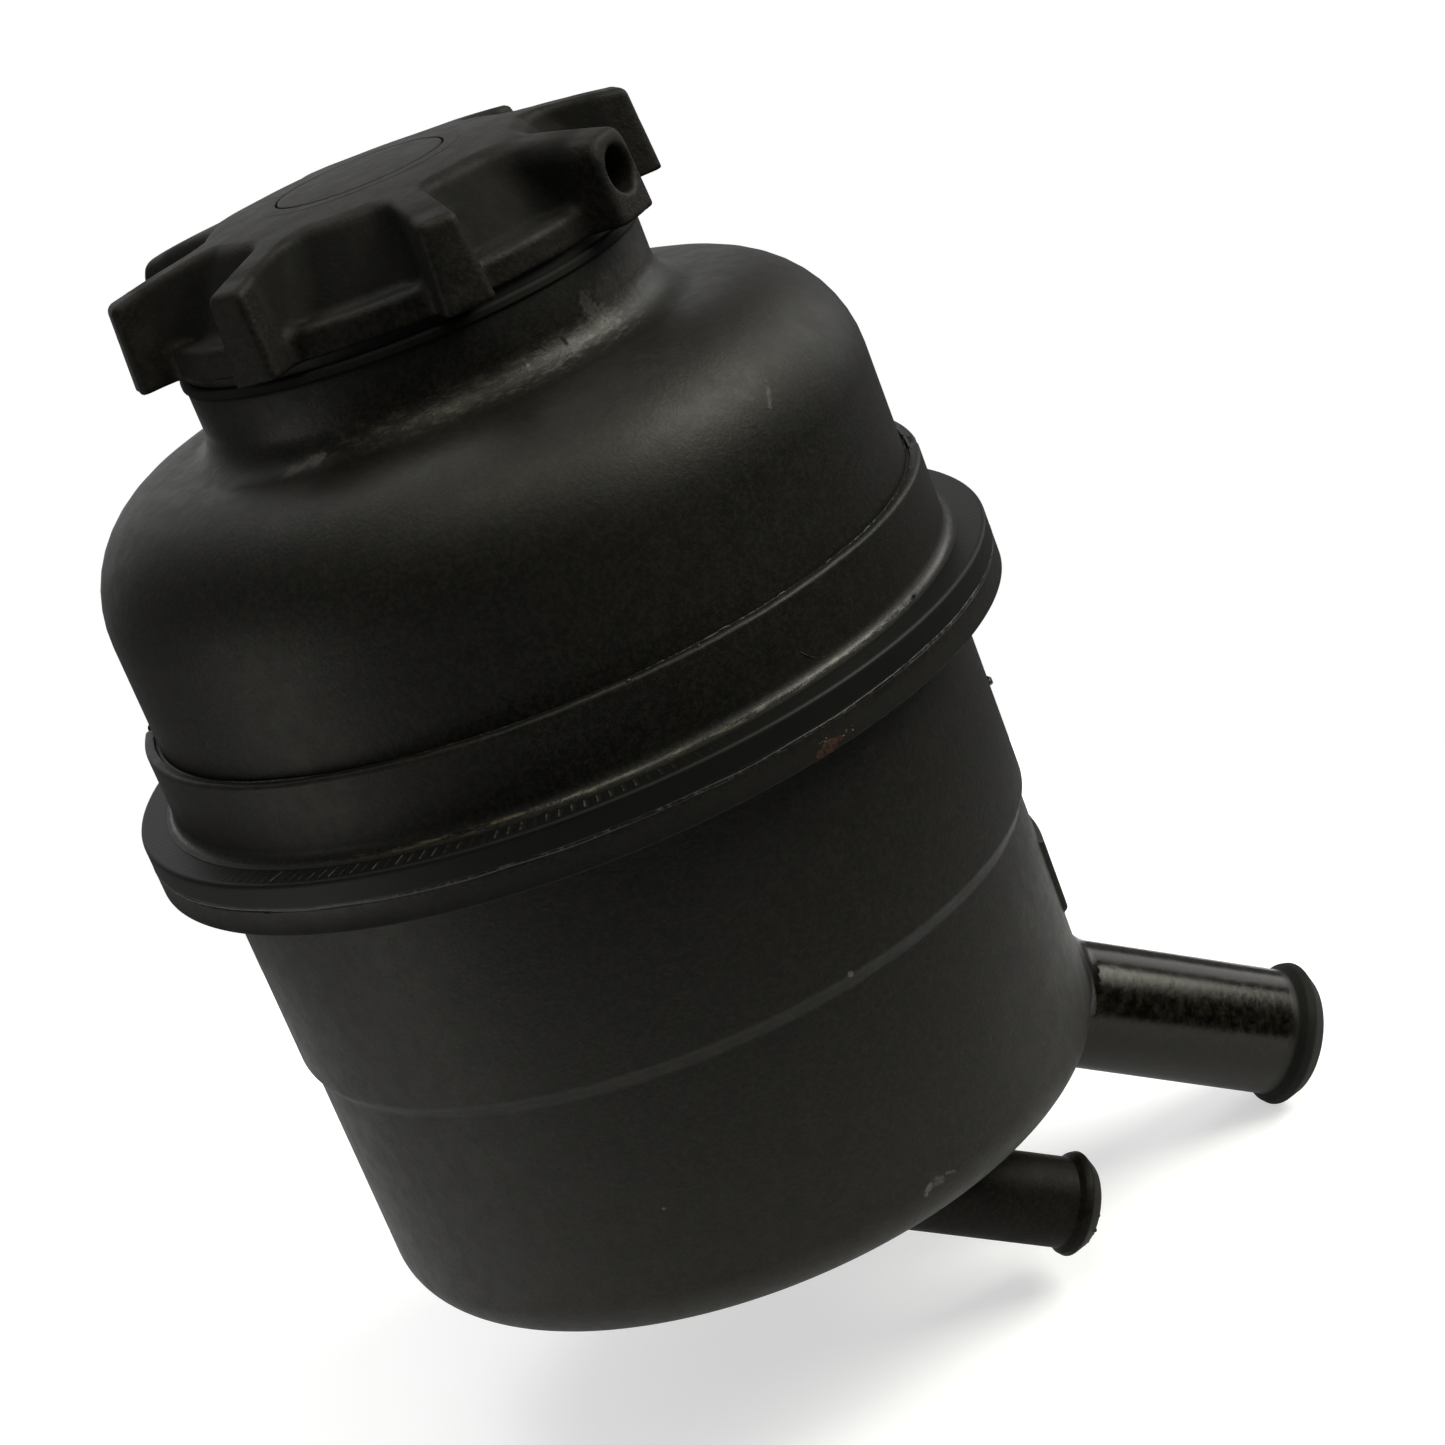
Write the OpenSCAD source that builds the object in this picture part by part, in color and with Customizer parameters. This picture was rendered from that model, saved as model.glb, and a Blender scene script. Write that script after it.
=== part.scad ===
// Power steering fluid reservoir: a round moulded can of two shells welded
// together at a thick flange, a lobed screw cap with a dipstick, a filter
// inside, and two hose nozzles that leave the foot of the can on a slant.
// Heights are measured up from the foot face; the origin of the finished
// model is on the axis, half way up the seat of the holding band.

/* [Shells] */
// Outside diameter of the dome and of the band seat
body_d = 102.2; // [98:0.2:112]
// Wall thickness of both shells
wall = 2.8; // [2.2:0.1:3.4]
// Height of the small step under the band seat
step_z = 36; // [30:1:42]
// How much narrower the foot is than the band seat, on the radius
step_in = 1.0; // [0.4:0.1:1.6]
// Length of the band seat, from the step up to the flange
seat_l = 29.6; // [24:0.2:36]
// Rounding of the foot edge
foot_round = 6; // [4:0.5:8]
// Height of the raised pad's lower edge above the foot
pad_z = 15.8; // [10:0.2:20]
// Height of the raised pad
pad_h = 10.8; // [8:0.2:14]
// How far the raised pad stands out
pad_out = 0.7; // [0.4:0.1:1]
// How far the weld flange stands out from the band seat
flange_out = 7.1; // [5:0.1:9]
// Thickness of the lower half of the weld flange
flange_low_t = 3.6; // [2.6:0.1:5]
// Thickness of the upper half of the weld flange
flange_top_t = 3.4; // [2.6:0.1:5]
// Height of the collar that stands on the flange
collar_h = 10.6; // [8:0.2:13]
// How much thicker the collar is than the dome wall
collar_t = 1.9; // [1.2:0.1:3]
// Fillet between the flange and the collar
collar_fillet = 3; // [2:0.25:4]
// Straight part of the dome above the collar
dome_l = 14.4; // [8:0.2:20]
// Radius of the dome shoulder
shoulder_r = 16; // [12:0.5:18]
// Width of the two slots in the rim of the collar
slot_w = 3; // [2:0.25:5]
// Depth of the two slots in the rim of the collar
slot_depth = 2.6; // [1.5:0.1:4]
// Direction of the first slot, seen from the nozzles
slot_dir = -11; // [-20:1:-4]

/* [Neck] */
// Diameter of the filling mouth
mouth_d = 52; // [48:0.5:54]
// Wall thickness of the neck
neck_wall = 4; // [3:0.1:4.4]
// Height of the neck above the dome
neck_h = 10.9; // [8:0.1:14]
// Fillet between the dome and the neck
neck_fillet = 4.5; // [2.5:0.25:5]
// Height of the bead around the neck's rim
lip_h = 1.4; // [1:0.1:2]
// How far the bead stands out from the neck
lip_out = 0.4; // [0.2:0.1:0.8]

/* [Suction nozzle] */
// Slant of both nozzles below the level
nozzle_slant = 34.3; // [30:0.5:40]
// Outside diameter of the suction nozzle
suction_d = 17.5; // [15.5:0.1:18.5]
// Bore of the suction nozzle
suction_bore = 13.2; // [10:0.1:13.6]
// Diameter of the hose bead of the suction nozzle
suction_bead_d = 20; // [19.2:0.1:21]
// How far inside the foot's side the suction nozzle's axis meets the foot plane
suction_in = 5.3; // [4:0.1:8]
// Offset of the suction nozzle from the middle plane
suction_y = -4; // [-8:0.5:0]
// Length of the suction nozzle from the foot plane to its bead
suction_l = 33.1; // [28:0.1:42]
// Length of the suction nozzle's bead
suction_bead_l = 4.4; // [3.6:0.1:6]

/* [Return nozzle] */
// Outside diameter of the return nozzle
return_d = 12.1; // [10.5:0.1:13]
// Bore of the return nozzle
return_bore = 8.4; // [6.5:0.1:8.8]
// Diameter of the hose bead of the return nozzle
return_bead_d = 14; // [13.5:0.1:15]
// Where the return nozzle's axis meets the foot plane, from the filter's axis
return_in_x = 4.3; // [2:0.1:6]
// Offset of the return nozzle from the filter's axis
return_in_y = -8; // [-9:0.5:-7]
// Length of the return nozzle from the foot plane to its bead
return_l = 31; // [26:0.1:38]
// Length of the return nozzle's bead
return_bead_l = 3.6; // [3:0.1:5]

/* [Cap] */
// Thickness of the seal between the neck and the cap
seal_t = 1.35; // [1:0.05:2]
// Height of the cap above the seal
cap_h = 14.35; // [13:0.05:17]
// Radius of the shallow crown of the cap
crown_r = 165; // [140:5:220]
// Diameter over the grip lobes at the foot of the cap
lobe_d = 71.2; // [68:0.2:78]
// Taper of the lobe ends, on the radius
lobe_draft = 0.9; // [0.4:0.1:1.4]
// Width of a grip lobe at its foot
lobe_w = 6.4; // [5:0.1:7]
// Width of the two vent lobes at their foot
vent_lobe_w = 8.4; // [7.8:0.1:9.6]
// How much a lobe narrows towards its top
lobe_taper = 2; // [1:0.1:2.2]
// Rounding of a grip lobe's top edges
lobe_edge = 0.8; // [0.4:0.1:1.2]
// Rounding of the arched tops of the two vent lobes
vent_lobe_edge = 2.8; // [1:0.1:2.8]
// Diameter of the hub under the crown
hub_d = 43; // [40:0.5:46]
// Diameter of the hub at the ledge
hub_foot_d = 53.2; // [50:0.2:56]
// Hollow rounding between the hub and the ledge
hub_fillet = 1.6; // [0.6:0.2:2.4]
// Diameter of the ledge around the hub
ledge_d = 61; // [58:0.2:64]
// Height of the ledge
ledge_h = 3.8; // [3:0.1:5]
// Rounding of the crown's edge
crown_round = 1.4; // [0.8:0.1:2]
// Direction of the first vent lobe, seen from the nozzles
vent_dir = -40.9; // [-50:0.1:-30]
// Diameter of the vent holes in the two vent lobes
vent_hole_d = 4.7; // [3.6:0.1:5.2]
// Height of the vent holes above the foot of the cap
vent_hole_z = 5.95; // [5.2:0.05:6.6]
// Diameter of the round cover in the crown
cover_d = 22; // [20:0.2:24]
// Thickness of the cover at its edge
cover_t = 1.5; // [1.2:0.1:2.4]
// Length of the plug that screws into the neck
plug_l = 14; // [12:0.2:16]
// Wall thickness of the plug
plug_wall = 2.2; // [1.8:0.1:3]
// Gap left for the screw thread between neck and plug
thread_gap = 1.6; // [1.2:0.1:2]

/* [Dipstick] */
// Width of the dipstick blade
blade_w = 8; // [6:0.5:10]
// Thickness of the dipstick blade
blade_t = 2; // [1.6:0.1:3]
// Height of the dipstick's tip above the baffle
tip_gap = 2; // [1:0.5:8]
// Height of the upper level mark above the tip
max_mark = 34; // [28:1:36]
// Height of the lower level mark above the tip
min_mark = 12; // [8:1:20]

/* [Inside] */
// Depth of the baffle plate below the weld line
baffle_drop = 9.2; // [8:0.1:11]
// Thickness of the baffle plate
baffle_t = 2; // [1.6:0.1:2.4]
// Thickness of the baffle's upright rim
baffle_rim_t = 1.6; // [1.2:0.1:2]
// Diameter of the baffle's holes
baffle_hole_d = 7; // [4:0.5:8]
// Distance of the outer ring of holes from the rim's outside
baffle_outer_in = 12.3; // [8:0.1:15]
// Radius of the inner ring of holes
baffle_inner_r = 20; // [16:0.5:24]
// Outside diameter of the filter
filter_d = 48.8; // [44:0.2:49]
// Gap between the filter and the wall of the foot beside it
filter_wall_gap = 6.9; // [5:0.1:8]
// Gap between the filter's bridge and the baffle plate
filter_top_gap = 1.7; // [1:0.1:4]
// Position of the filter along the nozzles
filter_x = 2; // [0:0.5:4]
// Thickness of the filter mesh
mesh_t = 0.5; // [0.4:0.1:0.8]
// Travel of the bypass valve
valve_lift = 2.4; // [1.5:0.1:2.6]
// Diameter of the spring wire
wire_d = 0.9; // [0.7:0.1:1.2]

/* [Clearances] */
// Radial gap of parts that sit in each other
seat_gap = 0.1; // [0.05:0.05:0.2]
// Radial gap of parts that turn in each other
turn_gap = 0.05; // [0.02:0.01:0.1]

/* [Hidden] */
$fn = 72;
e = 0.02;

body_r = body_d / 2;
foot_r = body_r - step_in;
foot_in_r = foot_r - wall;
top_in_r = body_r - wall;
flange_z = step_z + 0.5 + seat_l - 0.5;
split_z = flange_z + flange_low_t;
flange_top_z = split_z + flange_top_t;
rim_z = flange_top_z + collar_h;
collar_r = body_r + collar_t;
flange_r = body_r + flange_out;
shoulder_z = rim_z + dome_l;
dome_z = shoulder_z + shoulder_r;
shoulder_c = body_r - shoulder_r;
mouth_r = mouth_d / 2;
neck_r = mouth_r + neck_wall;
neck_z = dome_z + neck_h;
lip_r = neck_r + lip_out;
seat_mid_z = step_z + seat_l / 2;

cap_z = neck_z + seal_t;
crown_z = cap_z + cap_h;
lobe_r = lobe_d / 2;
hub_r = hub_d / 2;
hub_foot_r = hub_foot_d / 2;
hub_chamfer = 1;
ledge_r = ledge_d / 2;
ledge_edge = 1.2;
cover_r = cover_d / 2;
cover_seat_z = crown_z - (crown_r - sqrt(crown_r * crown_r - cover_r * cover_r)) - cover_t;
vent_hole_r = vent_hole_d / 2;
chamber_r = 8.5;
valve_disc_r = 5.2;
chamber_z = cap_z + vent_hole_z - vent_hole_r - 0.3;
deck_t = 2.2;
deck_z = chamber_z - deck_t;
plug_r = mouth_r - thread_gap;
plug_in_r = plug_r - plug_wall;
seal_in_r = plug_r + seat_gap;
seal_out_r = neck_r - 0.6;

boss_r = 6.8;
boss_z = cap_z - plug_l + 2.2;
head_z = boss_z + 5;
shaft_r = 2.6;
head_r = 3.9;
socket_r = 4.8;
head_t = 1.6;
stick_collar_r = 5.4;
stick_collar_t = 1.5;
collar_z = boss_z - 0.1 - stick_collar_t;

floor_z = 3;
baffle_z = split_z - baffle_drop;
baffle_r = top_in_r - seat_gap;
tip_z = baffle_z + baffle_t + tip_gap;
filter_r = filter_d / 2;
filter_y = -(foot_in_r - filter_r - filter_wall_gap);
suction_x = foot_r - suction_in;
return_x = filter_x + return_in_x;
return_y = filter_y + return_in_y;
ring_r = filter_r - 3.4;
ring_t = 1.8;
ring_h = 5;
seal2_t = 1.6;
cage_z = floor_z + seal2_t;
cage_ring_h = 5;
mesh_r = filter_r - 1.4;
lid_t = 2.2;
port_r = 5.5;
valve_r = 8;
valve_t = 1.2;
spring_r = 4.6;
pin_r = 1.4;
pin_h = 2.8;
pin_gap = 0.3;
spring_h = pin_h + valve_lift + pin_gap;
bridge_t = 1.4;
bridge_r = 11;
bridge_w = 6;
bridge_leg = 3;
bridge_z = baffle_z - filter_top_gap - bridge_t;
spring_z = bridge_z - spring_h;
valve_z = spring_z - valve_t;
lid_z = valve_z - lid_t;
top_ring_h = 3;
top_ring_z = lid_z - top_ring_h;

dir_x = cos(nozzle_slant);
dir_z = -sin(nozzle_slant);

// Points of a quarter arc in the half plane of revolution
function arc(cx, cy, r, a0, a1, n = 6) =
    [for (i = [0 : n]) let (a = a0 + (a1 - a0) * i / n) [cx + r * cos(a), cy + r * sin(a)]];

// Height of the crown's surface over a radius
function crown_at(r) = crown_z - crown_r + sqrt(crown_r * crown_r - r * r);
lobe_lean = atan2(crown_at(hub_r) - crown_at(lobe_r), lobe_r - hub_r);

// How far a slanted bore reaches inwards from the foot plane, to come out through the floor
function bore_reach(d) = (floor_z + d / 2 * dir_x) / -dir_z - 1;

// Moves a nozzle's own axis, along +Z, onto its slanted line
module on_nozzle(x, y) translate([x, y, 0]) rotate([0, 90 + nozzle_slant, 0]) children();

// Upper shell: flange half, slotted collar, dome and neck in one moulding
module upper_shell_profile() polygon(concat(
    [[top_in_r - 1, split_z], [flange_r - 0.3, split_z], [flange_r, split_z + 0.3],
     [flange_r, flange_top_z - 0.6], [flange_r - 0.6, flange_top_z]],
    arc(collar_r + collar_fillet, flange_top_z + collar_fillet, collar_fillet, 270, 180, 5),
    arc(collar_r - 0.7, rim_z - 0.7, 0.7, 0, 90, 3),
    [[body_r, rim_z], [body_r, shoulder_z]],
    arc(shoulder_c, shoulder_z, shoulder_r, 0, 90, 9),
    arc(neck_r + neck_fillet, dome_z + neck_fillet, neck_fillet, 270, 180, 5),
    [[neck_r, neck_z - lip_h], [lip_r, neck_z - lip_h + lip_out]],
    arc(lip_r - 0.5, neck_z - 0.5, 0.5, 0, 90, 3),
    arc(mouth_r + 0.5, neck_z - 0.5, 0.5, 90, 180, 3),
    [[mouth_r, dome_z - wall], [shoulder_c, dome_z - wall]],
    arc(shoulder_c, shoulder_z, shoulder_r - wall, 90, 0, 8),
    [[top_in_r, flange_top_z + 1], [top_in_r - 1, flange_top_z]]));

module upper_shell() color([0.09, 0.09, 0.08]) difference() {
    rotate_extrude() upper_shell_profile();
    for (a = [slot_dir, slot_dir + 180]) rotate([0, 0, a])
        translate([body_r + 0.05, -slot_w / 2, rim_z - slot_depth])
            cube([collar_t + 1, slot_w, slot_depth + 1]);
}

// Outside and inside of the lower shell as solids of revolution
module lower_shell_outside() polygon(concat(
    [[0, 0]],
    arc(foot_r - foot_round, foot_round, foot_round, 270, 360, 6),
    [[foot_r, step_z - step_in / 2], [body_r, step_z + step_in / 2], [body_r, flange_z - 0.8],
     [body_r + 0.8, flange_z], [flange_r - 0.6, flange_z], [flange_r, flange_z + 0.6],
     [flange_r, split_z - 0.3], [flange_r - 0.3, split_z], [0, split_z]]));

module lower_shell_inside() polygon(concat(
    [[0, floor_z]],
    arc(foot_in_r - foot_round + wall, floor_z + foot_round - wall, foot_round - wall, 270, 360, 4),
    [[foot_in_r, baffle_z], [top_in_r, baffle_z], [top_in_r, split_z + 1], [0, split_z + 1]]));

// Hose nozzle: tube with a rounded bead at its mouth
module nozzle_outside(l, d, bead_d, bead_l) rotate_extrude($fn = 48) polygon(concat(
    [[0, -10], [d / 2, -10], [d / 2, l], [bead_d / 2 - 0.3, l + bead_l * 0.22]],
    arc(bead_d / 2 - bead_l * 0.18, l + bead_l * 0.4, bead_l * 0.18, 0, 60, 3),
    arc(bead_d / 2 - bead_l * 0.62, l + bead_l * 0.62, bead_l * 0.38, 35, 90, 3),
    [[0, l + bead_l]]));

// Lower shell: foot, band seat, flange half and both nozzles in one moulding
module lower_shell() color([0.09, 0.09, 0.08]) difference() {
    union() {
        difference() {
            union() {
                rotate_extrude() lower_shell_outside();
                on_nozzle(suction_x, suction_y)
                    nozzle_outside(suction_l, suction_d, suction_bead_d, suction_bead_l);
                on_nozzle(return_x, return_y)
                    nozzle_outside(return_l, return_d, return_bead_d, return_bead_l);
                rotate([0, 0, -16]) rotate_extrude(angle = 21)
                    translate([foot_r - 1, pad_z]) square([pad_out + 1, pad_h]);
            }
            rotate_extrude() lower_shell_inside();
        }
        translate([filter_x, filter_y, floor_z - 0.5]) cylinder(r = ring_r, h = ring_h + 0.5, $fn = 64);
    }
    translate([filter_x, filter_y, floor_z]) cylinder(r = ring_r - ring_t, h = ring_h + 1, $fn = 64);
    on_nozzle(suction_x, suction_y) translate([0, 0, -bore_reach(suction_bore)])
        cylinder(d = suction_bore, h = bore_reach(suction_bore) + suction_l + suction_bead_l + 1, $fn = 48);
    on_nozzle(return_x, return_y) translate([0, 0, -bore_reach(return_bore)])
        cylinder(d = return_bore, h = bore_reach(return_bore) + return_l + return_bead_l + 1, $fn = 40);
}

// Crown of the cap with tapered sides: the outer limit of every lobe
module crown_limit(r_foot, r_top) rotate_extrude() polygon(concat(
    [[0, cap_z], [r_foot, cap_z], [r_top, crown_at(r_top) - crown_round]],
    arc(r_top - crown_round, crown_at(r_top) - crown_round - 0.1, crown_round, 15, 70, 3),
    [for (i = [5 : -1 : 1]) let (r = (r_top - crown_round) * i / 5 * 0.96) [r, crown_at(r)]],
    [[0, crown_z]]));

// Outline of a lobe seen from its end: tapered sides and rounded top edges
module lobe_end(w, edge) {
    end_h = crown_at(lobe_r) - cap_z;
    depth = end_h + lobe_r * tan(lobe_lean);
    top = (w - lobe_taper) / 2;
    foot = top + lobe_taper / 2 * depth / end_h;
    polygon(concat(
        [[-foot, -depth], [foot, -depth]],
        arc(top - edge, -edge, edge, 0, 90, 4),
        arc(edge - top, -edge, edge, 90, 180, 4)));
}

// One grip lobe: a rib from the axis outwards that follows the fall of the crown
module lobe(w, edge) translate([lobe_r, 0, crown_at(lobe_r)]) rotate([0, lobe_lean, 0])
    translate([-lobe_r, 0, 0]) rotate([90, 0, 90]) linear_extrude(lobe_r + 1) lobe_end(w, edge);

// Hub between the lobes, with the ledge below it
module hub() {
    top_r = hub_r + hub_chamfer / 2;
    top_z = crown_at(hub_r) - hub_chamfer;
    slope = atan2(top_z - cap_z - ledge_h, hub_foot_r - top_r);
    rotate_extrude() polygon(concat(
        [[0, cap_z], [ledge_r - 0.5, cap_z], [ledge_r, cap_z + 0.5]],
        arc(ledge_r - ledge_edge, cap_z + ledge_h - ledge_edge, ledge_edge, 0, 90, 3),
        arc(hub_foot_r + hub_fillet * tan(slope / 2), cap_z + ledge_h + hub_fillet, hub_fillet, 270, 270 - slope, 3),
        [[top_r, top_z], [hub_r - hub_chamfer, crown_at(hub_r)]],
        [for (i = [3 : -1 : 1]) let (r = (hub_r - hub_chamfer) * i / 4) [r, crown_at(r)]],
        [[0, crown_z]]));
}

// Cap: crown, eight lobes, ledge, screw plug and dipstick socket in one moulding
module cap() color([0.11, 0.11, 0.10]) difference() {
    union() {
        intersection() {
            crown_limit(lobe_r, lobe_r - lobe_draft);
            for (k = [0 : 7]) rotate([0, 0, vent_dir + 45 * k])
                lobe(k % 4 == 0 ? vent_lobe_w : lobe_w, k % 4 == 0 ? vent_lobe_edge : lobe_edge);
        }
        hub();
        translate([0, 0, cap_z - plug_l]) cylinder(r = plug_r, h = plug_l + 1);
    }
    difference() {
        translate([0, 0, cap_z - plug_l - 1]) cylinder(r = plug_in_r, h = deck_z - cap_z + plug_l + 1);
        translate([0, 0, boss_z]) cylinder(r = boss_r, h = deck_z - boss_z + 1, $fn = 48);
    }
    translate([0, 0, head_z]) cylinder(r = socket_r, h = deck_z - head_z, $fn = 48);
    translate([0, 0, boss_z - 1]) cylinder(r = shaft_r + turn_gap, h = head_z - boss_z + 2, $fn = 40);
    translate([-boss_r - 2, 0, deck_z - 2.4]) rotate([0, 90, 0]) cylinder(r = 1.3, h = 2 * boss_r + 4, $fn = 24);
    translate([0, 0, chamber_z]) cylinder(r = chamber_r, h = crown_z, $fn = 64);
    translate([0, 0, cover_seat_z]) cylinder(r = cover_r, h = crown_z, $fn = 64);
    translate([0, 0, deck_z - 1]) cylinder(r = 1.5, h = deck_t + 2, $fn = 24);
    for (a = [45 : 90 : 315]) rotate([0, 0, a]) translate([3.6, 0, deck_z - 1])
        cylinder(r = 0.8, h = deck_t + 2, $fn = 16);
    for (a = [0, 180]) rotate([0, 0, vent_dir + a]) translate([chamber_r - 1, 0, cap_z + vent_hole_z])
        rotate([0, 90, 0]) cylinder(r = vent_hole_r, h = lobe_r, $fn = 32);
}

// Round cover pressed flush into the crown
module vent_cover() color([0.12, 0.12, 0.11]) intersection() {
    translate([0, 0, cover_seat_z]) cylinder(r = cover_r - seat_gap, h = crown_z, $fn = 64);
    rotate_extrude() polygon(concat(
        [[0, cap_z], [hub_r, cap_z]],
        [for (i = [6 : -1 : 1]) let (r = hub_r * i / 6) [r, crown_at(r)]],
        [[0, crown_z]]));
}

// Rubber umbrella valve that lets the reservoir breathe
module vent_valve() color([0.05, 0.05, 0.05]) rotate_extrude($fn = 48) polygon([
    [0, deck_z - 1.9], [0.9, deck_z - 1.9], [2, deck_z - 0.7], [2, deck_z], [1.45, deck_z],
    [1.45, chamber_z], [valve_disc_r, chamber_z], [valve_disc_r, chamber_z + 0.4],
    [valve_disc_r * 0.58, chamber_z + 0.9], [0, chamber_z + 1.1]]);

// Flat rubber ring under the cap
module cap_seal() color([0.04, 0.04, 0.04]) translate([0, 0, neck_z]) difference() {
    cylinder(r = seal_out_r, h = seal_t);
    translate([0, 0, -1]) cylinder(r = seal_in_r, h = seal_t + 2);
}

// Dipstick: snap head, round shank, collar and flat blade with two level marks
module dipstick() color([0.14, 0.14, 0.13]) difference() {
    union() {
        translate([0, 0, head_z]) cylinder(r1 = head_r, r2 = shaft_r, h = head_t, $fn = 40);
        translate([0, 0, collar_z]) cylinder(r = shaft_r, h = head_z - collar_z + e, $fn = 40);
        translate([0, 0, collar_z]) cylinder(r = stick_collar_r, h = stick_collar_t, $fn = 40);
        translate([-blade_w / 2, -blade_t / 2, tip_z + blade_w / 2])
            cube([blade_w, blade_t, collar_z + stick_collar_t / 2 - tip_z - blade_w / 2]);
        translate([0, blade_t / 2, tip_z + blade_w / 2]) rotate([90, 0, 0])
            cylinder(r = blade_w / 2, h = blade_t, $fn = 40);
    }
    translate([-0.5, -head_r - 1, boss_z + 0.8]) cube([1, 2 * head_r + 2, head_z - boss_z + head_t]);
    for (z = [min_mark, max_mark]) for (s = [-1, 1])
        translate([s * blade_w / 2, -blade_t, tip_z + z]) rotate([0, 45, 0])
            translate([-0.6, 0, -0.6]) cube([1.2, 2 * blade_t, 1.2]);
    translate([0, blade_t, tip_z + blade_w / 2]) rotate([90, 0, 0])
        cylinder(r = blade_w / 4, h = 2 * blade_t, $fn = 24);
}

// Dished plate with holes that keeps the fluid from foaming
module baffle_plate() color([0.13, 0.13, 0.12]) difference() {
    rotate_extrude() polygon(concat(
        [[0, baffle_z], [baffle_r, baffle_z], [baffle_r, split_z], [baffle_r - baffle_rim_t, split_z]],
        arc(baffle_r - baffle_rim_t - 1, baffle_z + baffle_t + 1, 1, 360, 270, 3),
        [[0, baffle_z + baffle_t]]));
    for (k = [0 : 11]) rotate([0, 0, 30 * k]) translate([baffle_r + seat_gap - baffle_outer_in, 0, baffle_z - 1])
        cylinder(d = baffle_hole_d, h = baffle_t + 2, $fn = 24);
    for (k = [0 : 5]) rotate([0, 0, 60 * k + 30]) translate([baffle_inner_r, 0, baffle_z - 1])
        cylinder(d = baffle_hole_d, h = baffle_t + 2, $fn = 24);
}

module at_filter() translate([filter_x, filter_y, 0]) children();

// Rubber ring that seals the filter's foot on the floor
module filter_seal() color([0.05, 0.05, 0.05]) at_filter() translate([0, 0, floor_z]) difference() {
    cylinder(r = filter_r - 0.6, h = seal2_t, $fn = 64);
    translate([0, 0, -1]) cylinder(r = ring_r + seat_gap, h = seal2_t + 2, $fn = 64);
}

// Filter cage: foot ring, top ring and upright bars in one moulding
module filter_cage() color([0.80, 0.78, 0.70]) at_filter() difference() {
    union() {
        translate([0, 0, cage_z]) cylinder(r = filter_r, h = cage_ring_h, $fn = 64);
        translate([0, 0, top_ring_z]) cylinder(r = filter_r, h = lid_z - top_ring_z, $fn = 64);
        for (k = [0 : 7]) rotate([0, 0, 45 * k + 22.5])
            translate([mesh_r, -1.2, cage_z + 1]) cube([filter_r - mesh_r - 0.1, 2.4, lid_z - cage_z - 2]);
    }
    translate([0, 0, cage_z - 1]) cylinder(r = ring_r + seat_gap, h = lid_z - cage_z + 2, $fn = 64);
}

// Fine mesh inside the bars of the cage
module filter_mesh() color([0.72, 0.73, 0.74]) at_filter()
    translate([0, 0, cage_z + cage_ring_h]) difference() {
        cylinder(r = mesh_r, h = top_ring_z - cage_z - cage_ring_h, $fn = 64);
        translate([0, 0, -1]) cylinder(r = mesh_r - mesh_t, h = lid_z, $fn = 64);
    }

// Lid of the filter with the bypass port
module filter_lid() color([0.78, 0.76, 0.68]) at_filter() difference() {
    union() {
        translate([0, 0, lid_z]) cylinder(r = filter_r, h = lid_t, $fn = 64);
        translate([0, 0, lid_z - 2]) cylinder(r = ring_r, h = 2.1, $fn = 64);
    }
    translate([0, 0, lid_z - 3]) cylinder(r = ring_r - 1.4, h = 3, $fn = 64);
    translate([0, 0, lid_z - 3]) cylinder(r = port_r, h = lid_t + 4, $fn = 48);
}

// Bypass valve: a disc with a short guide pin
module bypass_valve() color([0.70, 0.71, 0.72]) at_filter() {
    translate([0, 0, valve_z]) cylinder(r = valve_r, h = valve_t, $fn = 48);
    translate([0, 0, valve_z + valve_t - e]) cylinder(r = pin_r, h = pin_h, $fn = 24);
}

// Coil spring on the bypass valve: a round wire swept along a helix
module bypass_spring() color([0.62, 0.63, 0.65]) at_filter() {
    turns = 4;
    steps = 20 * turns;
    sides = 8;
    rise = spring_h - wire_d;
    pts = [for (i = [0 : steps]) let (a = 360 * turns * i / steps,
            f = i / steps, zc = spring_z + wire_d / 2 + rise * f)
        for (j = [0 : sides - 1]) let (b = 360 * j / sides)
            [(spring_r + wire_d / 2 * cos(b)) * cos(a), (spring_r + wire_d / 2 * cos(b)) * sin(a),
             zc + wire_d / 2 * sin(b)]];
    faces = concat(
        [[for (j = [0 : sides - 1]) j]],
        [for (i = [0 : steps - 1]) for (j = [0 : sides - 1])
            [i * sides + j, (i + 1) * sides + j, (i + 1) * sides + (j + 1) % sides, i * sides + (j + 1) % sides]],
        [[for (j = [sides - 1 : -1 : 0]) steps * sides + j]]);
    polyhedron(points = pts, faces = faces, convexity = 8);
}

// Bridge over the spring, standing on the filter's lid
module spring_bridge() color([0.66, 0.67, 0.69]) at_filter() {
    translate([-bridge_r - bridge_leg / 2, -bridge_w / 2, bridge_z])
        cube([2 * bridge_r + bridge_leg, bridge_w, bridge_t]);
    for (s = [-1, 1]) translate([s * bridge_r - bridge_leg / 2, -bridge_w / 2, valve_z])
        cube([bridge_leg, bridge_w, bridge_z - valve_z + e]);
}

// The finished model stands with the middle of the band seat on the origin
module placed() translate([0, 0, -seat_mid_z]) children();

placed() upper_shell();
placed() lower_shell();
placed() cap();
placed() vent_cover();
placed() vent_valve();
placed() cap_seal();
placed() dipstick();
placed() baffle_plate();
placed() filter_seal();
placed() filter_cage();
placed() filter_mesh();
placed() filter_lid();
placed() bypass_valve();
placed() bypass_spring();
placed() spring_bridge();
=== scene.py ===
import math

import bpy
import numpy as np
from mathutils import Matrix, Vector


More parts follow.
